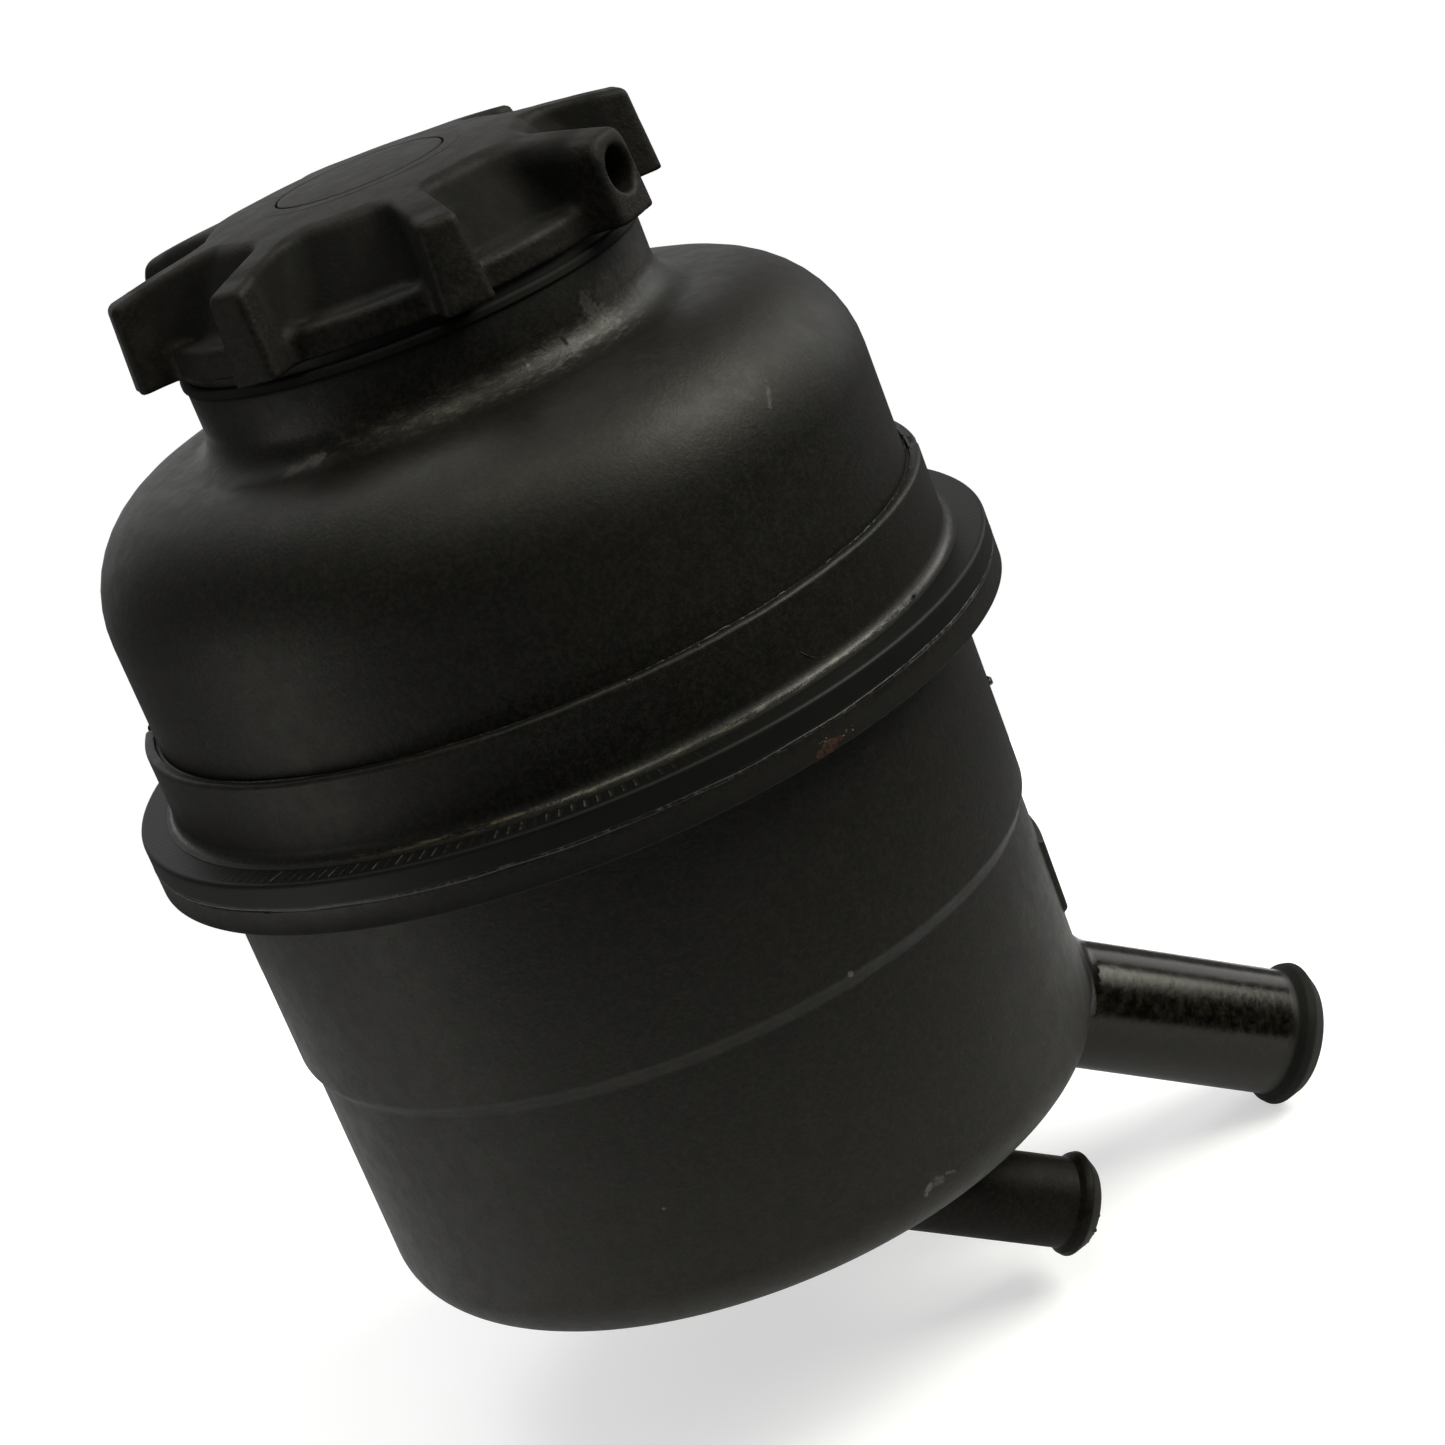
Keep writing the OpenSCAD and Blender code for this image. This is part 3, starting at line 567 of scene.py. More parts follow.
def flash_material():
    """Torn weld bead and burrs: the same plastic, rough and paler where it broke."""
    p = Paint("weld_flash")
    chips = p.noise(0.8, 4.0, 0.7)
    colour = p.blend(p.ramp(chips, 0.50, 0.66), (0.0030, 0.0028, 0.0022, 1), (0.042, 0.040, 0.026, 1))
    roughness = p.ramp(chips, 0.3, 0.7, 0.35, 0.6)
    return p.finish(colour, roughness, p.bump(chips, 0.5, 0.12))


def dirt_material(name, dark, light):
    p = Paint(name)
    grains = p.noise(0.6, 5.0, 0.75)
    colour = p.blend(p.ramp(grains, 0.42, 0.62), dark + (1,), light + (1,))
    return p.finish(colour, p.ramp(grains, 0.3, 0.7, 0.75, 0.95), p.bump(grains, 0.4, 0.1), level=0.15)


def rubber_material():
    p = Paint("rubber")
    dust = p.ramp(p.noise(1.6, 4.0, 0.65), 0.5, 0.75)
    colour = p.blend(dust, (0.0014, 0.0014, 0.0014, 1), (0.0060, 0.0055, 0.0048, 1))
    return p.finish(colour, p.ramp(p.noise(3.0), 0.3, 0.7, 0.55, 0.7), p.bump(p.noise(0.25), 0.2, 0.04), level=0.4)


def oily_plastic(name, base, stained, rough):
    p = Paint(name)
    film = p.noise(7.0, 4.0, 0.6)
    colour = p.blend(p.ramp(film, 0.35, 0.7), base + (1,), stained + (1,))
    roughness = p.ramp(p.noise(2.5, 3.0), 0.3, 0.7, rough - 0.1, rough + 0.12)
    return p.finish(colour, roughness, p.bump(p.noise(0.5, 3.0), 0.15, 0.06))


def woven_mesh():
    """Fine screen: crossed threads in rings and uprights, oil stained."""
    p = Paint("woven_screen")
    split = p.add("ShaderNodeSeparateXYZ")
    shift = p.add("ShaderNodeVectorMath", operation="SUBTRACT")
    p.put(shift.inputs[0], p.place)
    shift.inputs[1].default_value = (0.002, -0.016, 0)
    p.put(split.inputs[0], shift.outputs[0])
    around = p.math("MULTIPLY", p.math("ARCTAN2", split.outputs["Y"], split.outputs["X"]), 290.0)
    rings = p.math("SINE", p.math("MULTIPLY", split.outputs["Z"], 12500.0))
    uprights = p.math("SINE", around)
    weave = p.math("MAXIMUM", rings, uprights)
    threads = p.ramp(weave, 0.2, 0.75)
    stain = p.ramp(p.noise(9.0, 3.0), 0.4, 0.7)
    colour = p.blend(threads, (0.05, 0.04, 0.02, 1), p.blend(stain, (0.42, 0.38, 0.29, 1), (0.26, 0.19, 0.10, 1)))
    return p.finish(colour, p.ramp(threads, 0, 1, 0.7, 0.45), p.bump(weave, 0.5, 0.12))


def plated_steel(name, tone, rough):
    p = Paint(name)
    drawn = p.noise(0.6, 3.0, 0.6, (0.15, 1, 1))
    spots = p.ramp(p.noise(2.8, 4.0, 0.7), 0.55, 0.75)
    colour = p.blend(spots, tone + (1,), (tone[0] * 0.6, tone[1] * 0.55, tone[2] * 0.45, 1))
    return p.finish(colour, p.ramp(drawn, 0.3, 0.7, rough - 0.08, rough + 0.12), p.bump(drawn, 0.15, 0.03), metallic=1.0)


def ribbed_material():
    """Top of the weld flange: dark plastic, with the crests of the ribs pale, partly from wear and partly a painted
    highlight.
    """
    p = Paint("ribbed_flange")
    worn_and_highlit_crests = p.ramp(p.height(), (FLANGE_TOP - SEAT + 0.04) * 0.001, (FLANGE_TOP - SEAT + 0.13) * 0.001)
    worn_and_highlit_crests = p.math("MULTIPLY", worn_and_highlit_crests, p.ramp(p.noise(0.9, 3.0, 0.7), 0.35, 0.6))
    colour = p.blend(p.noise(3.0, 3.0), (0.0013, 0.0014, 0.0009, 1), (0.0034, 0.0032, 0.0023, 1))
    colour = p.blend(worn_and_highlit_crests, colour, (0.075, 0.073, 0.066, 1))
    roughness = p.ramp(worn_and_highlit_crests, 0, 1, 0.54, 0.36)
    return p.finish(colour, roughness, p.bump(p.noise(0.35, 2.0, 0.6), 0.3, 0.05), level=0.24)


flash, rubber = flash_material(), rubber_material()
brown_dirt = dirt_material("brown_dirt", (0.0170, 0.0092, 0.0052), (0.038, 0.020, 0.011))
yellow_dirt = dirt_material("yellow_dirt", (0.0150, 0.0120, 0.0030), (0.110, 0.095, 0.028))
ribbed = ribbed_material()


# ---- upper shell ---------------------------------------------------------------

def slot_angles(n, centres, half):
    """Even angles plus close pairs at both sides of each slot."""
    extra = [c + s * half + t for c in centres for s in (-1, 1) for t in (-0.0004, 0.0004)]
    return np.sort(np.mod(np.concatenate([circle(n), extra]), 2 * math.pi))


def upper_shell():
    outline = rounded([
        (48.3, WELD + 0.05, 0), (FLANGE_R - 0.15, WELD + 0.05, 0), (FLANGE_R - 0.15, FLANGE_TOP - 0.12, 0.6),
        (COLLAR_R, FLANGE_TOP - 0.02, 1.8), (COLLAR_R, RIM, 0.6), (51.8, RIM - 0.02, 0.12),
        (51.5, RIM - 0.6, 0.1), (SEAT_R, RIM - 0.45, 0.1),
        (SEAT_R, DOME_TOP, 16.0), (NECK_R, DOME_TOP, 4.45), (NECK_R, NECK_TOP - 1.4, 0.25),
        (LIP_R, NECK_TOP - 1.1, 0.25), (LIP_R, NECK_TOP, 0.45), (MOUTH_R, NECK_TOP, 0.5),
        (MOUTH_R, 110.8, 1.0), (48.3, 110.8, 13.2)], step=8.0)
    centres = [math.radians(-11), math.radians(169)]
    angles = slot_angles(480, centres, 1.5 / 52.2)
    verts, faces = turned(outline, angles)
    az = np.arctan2(verts[:, 1], verts[:, 0])
    r = np.hypot(verts[:, 0], verts[:, 1])
    for c in centres:
        off = np.abs(np.mod(az - c + math.pi, 2 * math.pi) - math.pi)
        cut = (off < 1.5 / 52.2) & (r > SEAT_R + 0.02) & (verts[:, 2] > RIM - 2.6) & (verts[:, 2] < RIM + 0.5)
        verts[cut, 2] = RIM - 2.6
    edge = np.clip((verts[:, 2] - RIM + 0.5) / 0.4, 0, 1) * (np.abs(verts[:, 2] - RIM) < 0.6) * (r > 51.4)
    verts[:, 2] += edge * 0.05 * wave(az, 3, (11, 19, 37, 61, 97))
    sink = (r > 49) & (verts[:, 2] > RIM + 1) & (verts[:, 2] < 108)
    scale = 1 + sink * 0.0007 * wave(az, 4, (2, 3, 5))
    verts[:, 0] *= scale
    verts[:, 1] *= scale
    # Painted shade: the top of the neck lip, in the gap under the cap, is darkened and made rougher.
    lip = np.clip((verts[:, 2] - 122.6) / 0.3, 0, 1)
    piece("upper_shell_body", verts, faces, shell, "reservoir", "shell_plastic", "upper_shell", dull=lip)


def flange_rim():
    """Upper half of the weld flange, with the thin radial ribs of its top face."""
    teeth, per = 227, 12
    outline = rounded([
        (52.6, WELD + 0.04, 0), (FLANGE_R, WELD + 0.04, 0.3), (FLANGE_R, FLANGE_TOP, 0.55), (54.3, FLANGE_TOP, 0),
        (52.6, FLANGE_TOP - 0.9, 0)], step=18.0)
    top = [(q, FLANGE_TOP) for q in (57.2, 57.0, 56.4, 55.6, 54.9, 54.7)]
    spot = int(np.argmin(np.abs(outline[:, 0] - 54.3) + np.abs(outline[:, 1] - FLANGE_TOP)))
    outline = np.vstack([outline[:spot], top, outline[spot:]])
    verts, faces = turned(outline, circle(teeth * per))
    az, r = np.arctan2(verts[:, 1], verts[:, 0]), np.hypot(verts[:, 0], verts[:, 1])
    k = np.round(np.mod(az, 2 * math.pi) / (2 * math.pi) * teeth * per).astype(int)
    rib = np.array([0.0, 0.0, 0.6, 1.0, 0.6, -0.4, -0.8, -0.8, -0.5, -0.2, 0.0, 0.0])[k % per]
    window = (r < 57.1) & (r > 54.8)
    each = 0.45 + 0.55 * np.random.default_rng(5).random(teeth + 1)[k // per]
    deg = np.degrees(-az)
    front = np.clip((deg - 80) / 14, 0, 1) * np.clip((156 - deg) / 12, 0, 1)
    lift = 0.13 * rib * window * each * (0.08 + 0.92 * front)
    verts[:, 2] += np.where(verts[:, 2] > FLANGE_TOP - 0.01, lift, 0)
    piece("flange_rim_ribs", verts, faces, ribbed, "reservoir", "shell_plastic")


def torn_bead(name, radius, height, lean, width, amount, drift, material):
    """Thin uneven ring of melted plastic; lean is the direction it stands out in, from level."""
    az = circle(1440)
    out = np.array((math.cos(lean), math.sin(lean)))
    side = np.array((-out[1], out[0]))
    rings = []
    for across, rise in ((-0.5, -1.0), (-0.5, -0.15), (-0.28, 0.55), (0.0, 1.0), (0.28, 0.55), (0.5, -0.15), (0.5, -1.0)):
        level = amount * rise if rise > 0 else np.full(len(az), 0.15 * rise if rise > -1 else -0.4)
        r = radius + side[0] * across * width + out[0] * level
        h = height + drift + side[1] * across * width + out[1] * level
        rings.append(np.column_stack([r * np.cos(az), r * np.sin(az), h]))
    m, n = len(az), len(rings)
    faces = [[i * m + j, i * m + (j + 1) % m, (i + 1) % n * m + (j + 1) % m, (i + 1) % n * m + j]
             for i in range(n) for j in range(m)]
    piece(name, np.vstack(rings), faces, material, "reservoir", "shell_plastic")


def welds():
    az = circle(1440)
    deg = np.degrees(np.where(az > math.pi, az - 2 * math.pi, az))
    right = np.clip((deg + 118) / 40, 0, 1) * (deg < 60)
    chips = np.clip(wave(az, 21, (5, 11, 23, 47, 83, 131, 191), 0.3), -1, 1)
    torn_bead("weld_flash_bead", FLANGE_R - 0.02, WELD, 0.0, 0.55, np.clip(0.035 + 0.09 * chips * (0.4 + 0.6 * right), 0.0, 0.14),
              0.16 * wave(az, 22, (3, 7, 19, 31)), flash)
    dots = np.clip(wave(az, 31, (37, 71, 113, 151, 203), 0.1), 0, 1)
    torn_bead("collar_flash_bead", 51.85, RIM - 0.06, math.radians(60), 0.3, 0.24 * dots * right,
              0.05 * wave(az, 32, (5, 11, 29)), flash)


def helix(radius, crest, low, turns, phase, root=1.7, tip=0.7, per_turn=96):
    """Screw thread of one start: a trapezium swept on a helix that runs out at both ends."""
    steps = int(turns * per_turn)
    verts = []
    for i in range(steps + 1):
        f = i / steps
        fade = min(1, min(f, 1 - f) * turns * 12)
        a = phase + f * turns * 2 * math.pi
        h = low + f * turns * THREAD_LEAD
        c = radius + (crest - radius) * fade
        sunk = radius - math.copysign(0.4, crest - radius)
        for rad, dh in ((sunk, -root / 2), (radius, -root / 2), (c, -tip / 2), (c, tip / 2), (radius, root / 2),
                        (sunk, root / 2)):
            verts.append((rad * math.cos(a), rad * math.sin(a), h + dh))
    faces = [[i * 6 + j, i * 6 + (j + 1) % 6, (i + 1) * 6 + (j + 1) % 6, (i + 1) * 6 + j]
             for i in range(steps) for j in range(6)]
    if crest < radius:
        faces = [f[::-1] for f in faces]
    faces += [list(range(6))[::-1], [steps * 6 + j for j in range(6)]]
    return np.array(verts), faces


def neck_details():
    verts, faces = helix(MOUTH_R, 24.95, 113.8, 1.0, 0.0)
    piece("neck_thread", verts, faces, shell, "reservoir", "shell_plastic")


# ---- lower shell ---------------------------------------------------------------

NOZZLES = {
    "suction": dict(x=44.8, y=-4.0, r=8.75, bead=10.0, root=33.1, length=4.4, bore=6.6, fillet=2.2),
    "return": dict(x=6.3, y=-24.0, r=6.05, bead=7.0, root=31.0, length=3.6, bore=4.2, fillet=1.6),
}


def lower_shell():
    outline = rounded([
        (0, 0, 0), (FOOT_R, 0, 6.0), (FOOT_R, 35.1, 1.5), (SEAT_R, 36.6, 1.5), (SEAT_R, 65.6, 0.9),
        (FLANGE_R, 65.6, 0.3), (FLANGE_R, WELD - 0.04, 0.3), (48.3, WELD - 0.04, 0), (48.3, 60, 0), (47.3, 60, 0),
        (47.3, 3, 3.2), (0, 3, 0)], step=5.0)
    verts, faces = turned(outline, circle(480))
    az, r = np.arctan2(verts[:, 1], verts[:, 0]), np.hypot(verts[:, 0], verts[:, 1])
    wall = (r > 49) & (verts[:, 2] > 8) & (verts[:, 2] < 64)
    scale = 1 - wall * 0.0008 * (1 + wave(az, 5, (2, 3, 4, 7)))
    verts[:, 0] *= scale
    verts[:, 1] *= scale
    # Painted shade: the underside of the flange and the step ring are darkened and made rougher.
    step = np.clip(1.6 - np.abs(verts[:, 2] - 35.8), 0, 1) * (r > 49)
    under = np.maximum((r > 57.3) * np.clip((66.4 - verts[:, 2]) / 0.3, 0, 1), 0.3 * step)
    body = piece("lower_shell_body", verts, faces, shell, "reservoir", "shell_plastic", "lower_shell", dull=under)
    for n in NOZZLES.values():
        cutter = bpy.data.meshes.new("bore")
        v, f = turned(np.array([(0, -16.0), (n["bore"], -16.0), (n["bore"], 6.0), (0, 6.0)]), circle(64))
        v = moved(v, nozzle_matrix(n["x"], n["y"]))
        v[:, 2] -= SEAT
        cutter.from_pydata((v * 0.001).tolist(), [], f)
        tool = bpy.data.objects.new("bore", cutter)
        bpy.context.scene.collection.objects.link(tool)
        cut = body.modifiers.new("bore", "BOOLEAN")
        cut.operation, cut.solver, cut.object = "DIFFERENCE", "EXACT", tool
        bpy.context.view_layer.update()
        done = bpy.data.meshes.new_from_object(body.evaluated_get(bpy.context.evaluated_depsgraph_get()))
        body.modifiers.clear()
        body.data = done
        bpy.data.objects.remove(tool)
    body.data.name = "lower_shell_body"
    body.data.shade_smooth()


def nozzle_marks(name, n, verts):
    """Glossy film on the big tube from its fillet to the bead, with painted shade on its lower side and the bead
    darker and rougher; the small one gets no marks, and its material reflects less.
    """
    axis = np.array((math.cos(SLANT), 0, -math.sin(SLANT)))
    off = verts - np.array((n["x"], n["y"], 0))
    along = off @ axis
    away = np.clip((foot_field(*verts.T) - 0.1) / 0.9, 0, 1)
    if name == "return":
        return {}
    bead = np.clip((along - n["root"] + 0.6) / 0.5, 0, 1)
    top = np.clip((off @ np.array((math.sin(SLANT), 0, math.cos(SLANT))) / n["r"] + 0.25) / 0.45, 0, 1)
    return {"film": away * (1 - 0.9 * bead) * (0.55 + 0.45 * top), "dull": np.maximum(bead, 0.2 * (1 - top)) * away}


def nozzles():
    for name, n in NOZZLES.items():
        root, long, wide = n["root"], n["length"], n["bead"] - 0.03
        tube = [(n["r"], t, 0) for t in np.arange(-2.0, root - 1.0, 0.8)]
        outline = rounded(
            [(n["bore"], -2.0, 0)] + tube + [(n["r"], root, 0.3), (wide - 0.25, root + 0.2 * long, 0.6)]
            + arc(wide - 0.18 * long, root + 0.4 * long, 0.18 * long, 0, 38, 5)
            + arc(wide - 0.62 * long, root + 0.62 * long, 0.38 * long, 38, 90, 8)
            + [(n["bore"] + 0.3, root + long, 0), (n["bore"], root + long - 0.3, 0)], step=10.0)
        verts, faces = turned(outline, circle(160))
        verts = moved(verts, nozzle_matrix(n["x"], n["y"]))
        plastic = tube_plastic[name]
        piece(name + "_nozzle", verts, faces, plastic, "reservoir", "shell_plastic", **nozzle_marks(name, n, verts))

        def field(x, y, h, n=n):
            return round_union(foot_field(x, y, h), tube_field(x, y, h, n["x"], n["y"], n["r"]), n["fillet"])

        low = (n["x"] - 22, n["y"] - 14, -14.0)
        high = (n["x"] + 22, n["y"] + 14, 18.0)
        verts, quads = net(field, low, high, 0.45)
        a = foot_field(*verts.T)
        b = tube_field(*verts.T, n["x"], n["y"], n["r"])
        inside = (np.maximum(a, b) < n["fillet"] * 1.02) & (a > -0.05) & (b > -0.05)
        keep = inside[quads].all(1)
        used, quads = np.unique(quads[keep], return_inverse=True)
        verts = verts[used]
        eps = 0.02
        lift = np.column_stack([(field(*(verts + d).T) - field(*(verts - d).T)) / (2 * eps) for d in np.eye(3) * eps])
        verts = verts + 0.02 * lift
        piece(name + "_root_fillet", verts, quads.reshape(-1, 4), plastic, "reservoir", "shell_plastic",
              **nozzle_marks(name, n, verts))


def raised_pad():
    """Thin rectangular pad beside the suction nozzle."""
    az = np.radians(np.linspace(-16.4, 5.4, 90))
    h = np.linspace(15.5, 26.9, 60)
    a, z = np.meshgrid(az, h, indexing="ij")
    inside = np.minimum(np.minimum((a - math.radians(-16)) * FOOT_R, (math.radians(5) - a) * FOOT_R),
                        np.minimum(z - 15.8, 26.6 - z))
    rise = 0.7 * np.clip(1 - (1 - np.clip(inside / 0.5, 0, 1)) ** 2, 0, 1) - 0.1 * (inside <= 0)
    r = FOOT_R + rise
    verts = np.column_stack([(r * np.cos(a)).ravel(), (r * np.sin(a)).ravel(), z.ravel()])
    n = len(h)
    i, j = np.meshgrid(np.arange(len(az) - 1), np.arange(n - 1), indexing="ij")
    i, j = i.ravel(), j.ravel()
    faces = np.column_stack([i * n + j, (i + 1) * n + j, (i + 1) * n + j + 1, i * n + j + 1])
    piece("raised_pad", verts, faces, shell, "reservoir", "shell_plastic")


def blob(centre, size, seed, flat=0.4):
    """Small lumpy grain."""
    g = np.random.default_rng(seed)
    rings, sides = 6, 9
    verts = [(0, 0, -1.0)]
    for i in range(1, rings):
        for j in range(sides):
            t, a = math.pi * i / rings, 2 * math.pi * j / sides
            k = g.uniform(0.75, 1.15)
            verts.append((k * math.sin(t) * math.cos(a), k * math.sin(t) * math.sin(a), -k * math.cos(t)))
    verts.append((0, 0, 1.0))
    faces = [[0, 1 + (j + 1) % sides, 1 + j] for j in range(sides)]
    for i in range(rings - 2):
        a, b = 1 + i * sides, 1 + (i + 1) * sides
        faces += [[a + j, a + (j + 1) % sides, b + (j + 1) % sides, b + j] for j in range(sides)]
    last = 1 + (rings - 2) * sides
    faces += [[last + j, last + (j + 1) % sides, len(verts) - 1] for j in range(sides)]
    out = Vector((centre[0], centre[1], 0)).normalized()
    turn = out.to_track_quat("Z", "Y").to_matrix()
    v = np.array(verts) * np.array([size, size * 0.7, size * flat])
    return v @ np.array(turn).T + np.array(centre), faces


def whisker(points, width):
    """Hair-thin burr of plastic along a few points."""
    points = np.array(points, float)
    verts, k = [], 4
    for i, p in enumerate(points):
        w = width * (1 - 0.8 * i / (len(points) - 1))
        verts += [p + w * np.array(o) for o in ((1, 0, 0), (0, 1, 0), (-1, 0, 0), (0, -1, 0))]
    faces = [[i * k + j, i * k + (j + 1) % k, (i + 1) * k + (j + 1) % k, (i + 1) * k + j]
             for i in range(len(points) - 1) for j in range(k)]
    faces += [[3, 2, 1, 0], [(len(points) - 1) * k + j for j in range(k)]]
    return np.array(verts), faces


def small_marks():
    g = np.random.default_rng(17)
    brown = [blob(on_wall(az, h, FLANGE_R - 0.02), size, k, 0.07)
             for k, (az, h, size) in enumerate([(-70.2, 66.5, 1.35), (-71.8, 66.2, 0.75), (-68.8, 66.7, 0.7),
                                                (-73.4, 66.0, 0.35)])]
    yellow = [blob(on_wall(g.normal(az, 0.6), g.normal(h, 0.2), FLANGE_R - 0.03), g.uniform(0.12, 0.3), 30 + k, 0.4)
              for k, (az, h) in enumerate([(-67.3, 67.0)] * 5 + [(-71.0, 67.3)] * 4)]
    for name, grains, material in (("brown_specks", brown, brown_dirt), ("yellow_specks", yellow, yellow_dirt)):
        verts, faces = joined(grains)
        piece(name, verts, faces, material, "reservoir", "shell_plastic")
    burrs = [blob(on_wall(-89, RIM - 0.15, COLLAR_R - 0.2), 0.38, 6), blob(on_wall(-79, RIM - 0.1, COLLAR_R - 0.25), 0.3, 7),
             blob(on_wall(-13, 49.3, SEAT_R), 1.0, 8, 0.5), blob(on_wall(-44, FLANGE_TOP + 0.6, 53.9), 0.42, 9),
             whisker([on_wall(-66.2, 76.3, COLLAR_R), on_wall(-65.4, 75.4, COLLAR_R + 0.1),
                      on_wall(-64.2, 74.6, COLLAR_R + 0.2), on_wall(-62.4, 74.0, COLLAR_R + 0.5)], 0.07)]
    n = NOZZLES["return"]
    frame_of = nozzle_matrix(n["x"], n["y"])
    for k, (turn, size) in enumerate(((-98, 0.36), (-76, 0.5), (-70, 0.3), (-52, 0.26))):
        a = math.radians(turn)
        edge = np.array([[5.5 * math.cos(a), 5.5 * math.sin(a), n["root"] + n["length"] - 0.35]])
        burrs.append(blob(tuple(moved(edge, frame_of)[0]), size, 20 + k, 0.6))
    verts, faces = joined(burrs)
    piece("moulding_burrs", verts, faces, flash, "reservoir", "shell_plastic")


upper_shell()
flange_rim()
welds()
neck_details()
lower_shell()
nozzles()
raised_pad()
small_marks()


# ---- cap -------------------------------------------------------------------------

def crown_at(r):
    return CROWN - CROWN_R + np.sqrt(CROWN_R ** 2 - r ** 2)


def crown_arc(r0, r1, n, lift=0.0):
    return [(q, crown_at(q) + lift, 0) for q in np.linspace(r0, r1, n)]


def cap():
    verts, quads = net(cap_field, (-36.4, -36.4, 125.2), (36.4, 36.4, 141.0), 0.42)
    # Painted shade: the cap's pockets between the lobes are darkened and made rougher.
    deep = np.clip((32.0 - np.hypot(verts[:, 0], verts[:, 1])) / 1.5, 0, 1)
    below = np.clip((138.2 - verts[:, 2]) / 0.8, 0, 1) * np.clip((verts[:, 2] - 129.5) / 1.0, 0, 1)
    piece("cap_body", verts, quads, cap_plastic, "cap", "cap_plastic", "cap", dull=0.8 * deep * below)
    ring = rounded([(11.12, crown_at(11.12) - 2.0, 0), (13.4, crown_at(13.4) - 2.0, 0),
                    (13.4, crown_at(13.4) - 0.15, 0)]
                   + crown_arc(13.2, 11.4, 5, 0.012)[:-1] + [(11.12, crown_at(11.12) + 0.01, 0.14)], step=20)
    verts, faces = turned(ring, circle(256))
    piece("crown_ring", verts, faces, cap_plastic, "cap", "cap_plastic")
    cover = rounded([(0, crown_at(0) - 1.9, 0), (10.86, crown_at(10.9) - 1.4, 0), (10.86, crown_at(10.86), 0.16)]
                    + crown_arc(10.2, 0.0, 8), step=20)
    verts, faces = turned(cover, circle(256))
    piece("cap_cover_disc", verts, faces, cap_plastic, "cap", "cap_plastic", "vent_cover")
    plug = rounded([(PLUG_IN, DECK - 0.1, 0), (PLUG_IN, 111.85, 0.5), (PLUG_R, 111.85, 0.8), (PLUG_R, 126.4, 0)])
    verts, faces = turned(plug, circle(256))
    piece("cap_plug", verts, faces, cap_plastic, "cap", "cap_plastic")
    boss = rounded([(2.65, 114.05, 0.2), (6.8, 114.05, 0.6), (6.8, 127.3, 0), (4.8, 127.3, 0), (4.8, 119.05, 0.2),
                    (2.65, 119.05, 0.2)])
    verts, faces = turned(boss, circle(96))
    piece("dipstick_socket", verts, faces, cap_plastic, "cap", "cap_plastic")
    verts, faces = helix(PLUG_R, 25.55, 113.6, 0.9, -1.1 * math.pi)
    piece("plug_thread", verts, faces, cap_plastic, "cap", "cap_plastic")


cap()


# ---- seal and inner pieces: the solids themselves, dressed --------------------------

def dress(node, material, bevel=0.0):
    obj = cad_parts[node]
    if not obj.material_slots:
        obj.data.materials.append(None)
    for s in obj.material_slots:
        s.link = "OBJECT"
        s.material = material
    if bevel:
        edge = obj.modifiers.new("soft_edges", "BEVEL")
        edge.width, edge.segments, edge.limit_method, edge.angle_limit = bevel * 0.001, 2, "ANGLE", math.radians(40)


dipstick_plastic = oily_plastic("dipstick_plastic", (0.020, 0.020, 0.018), (0.035, 0.030, 0.022), 0.38)
inner_plastic = oily_plastic("inner_plastic", (0.016, 0.016, 0.014), (0.030, 0.025, 0.018), 0.36)
filter_plastic = oily_plastic("filter_plastic", (0.50, 0.45, 0.33), (0.32, 0.23, 0.12), 0.42)
zinc = plated_steel("zinc_steel", (0.55, 0.56, 0.55), 0.34)
spring_steel = plated_steel("spring_steel", (0.40, 0.40, 0.40), 0.30)
dress("cap_seal", rubber)
dress("vent_valve", rubber)
dress("filter_seal", rubber)
dress("dipstick", dipstick_plastic)
dress("baffle_plate", inner_plastic)
dress("filter_cage", filter_plastic)
dress("filter_lid", filter_plastic)
dress("filter_mesh", woven_mesh())
dress("bypass_valve", zinc)
dress("spring_bridge", zinc)


def valve_spring():
    """The bypass spring as a piece of its own, because it shortens when the valve opens."""
    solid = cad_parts["bypass_spring"]
    mesh = solid.data.copy()
    mesh.transform(solid.matrix_world)
    mesh.name = "valve_spring"
    mesh.materials.clear()
    mesh.materials.append(spring_steel)
    spring = bpy.data.objects.new("valve_spring", mesh)
    bpy.context.scene.collection.objects.link(spring)
    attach(spring, "reservoir")
    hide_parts("bypass_spring")
    low, high = (f([v.co[:] for v in mesh.vertices], axis=0) for f in (np.min, np.max))
    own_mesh(spring)


valve_spring()


# ---- camera, floor, light ------------------------------------------------------------

scene = bpy.context.scene
scene.view_settings.view_transform = "Standard"

yaw, pitch, roll = (math.radians(a) for a in (8.2137, 19.2798, -21.5533))
ahead = Vector((math.sin(yaw) * math.cos(pitch), math.cos(yaw) * math.cos(pitch), -math.sin(pitch)))
level = Vector((math.cos(yaw), -math.sin(yaw), 0))
upright = level.cross(ahead)
right = math.cos(roll) * level + math.sin(roll) * upright
up = -math.sin(roll) * level + math.cos(roll) * upright
camera = bpy.data.objects.new("camera", bpy.data.cameras.new("camera"))
camera.data.sensor_width, camera.data.lens = 36.0, 3338.27 / 1445 * 36.0
camera.data.clip_start, camera.data.clip_end = 0.01, 50
camera.matrix_world = Matrix.Translation((-0.042442, -0.410699, 0.149526)) @ Matrix(
    (right, up, -ahead)).transposed().to_4x4()
scene.collection.objects.link(camera)
scene.camera = camera


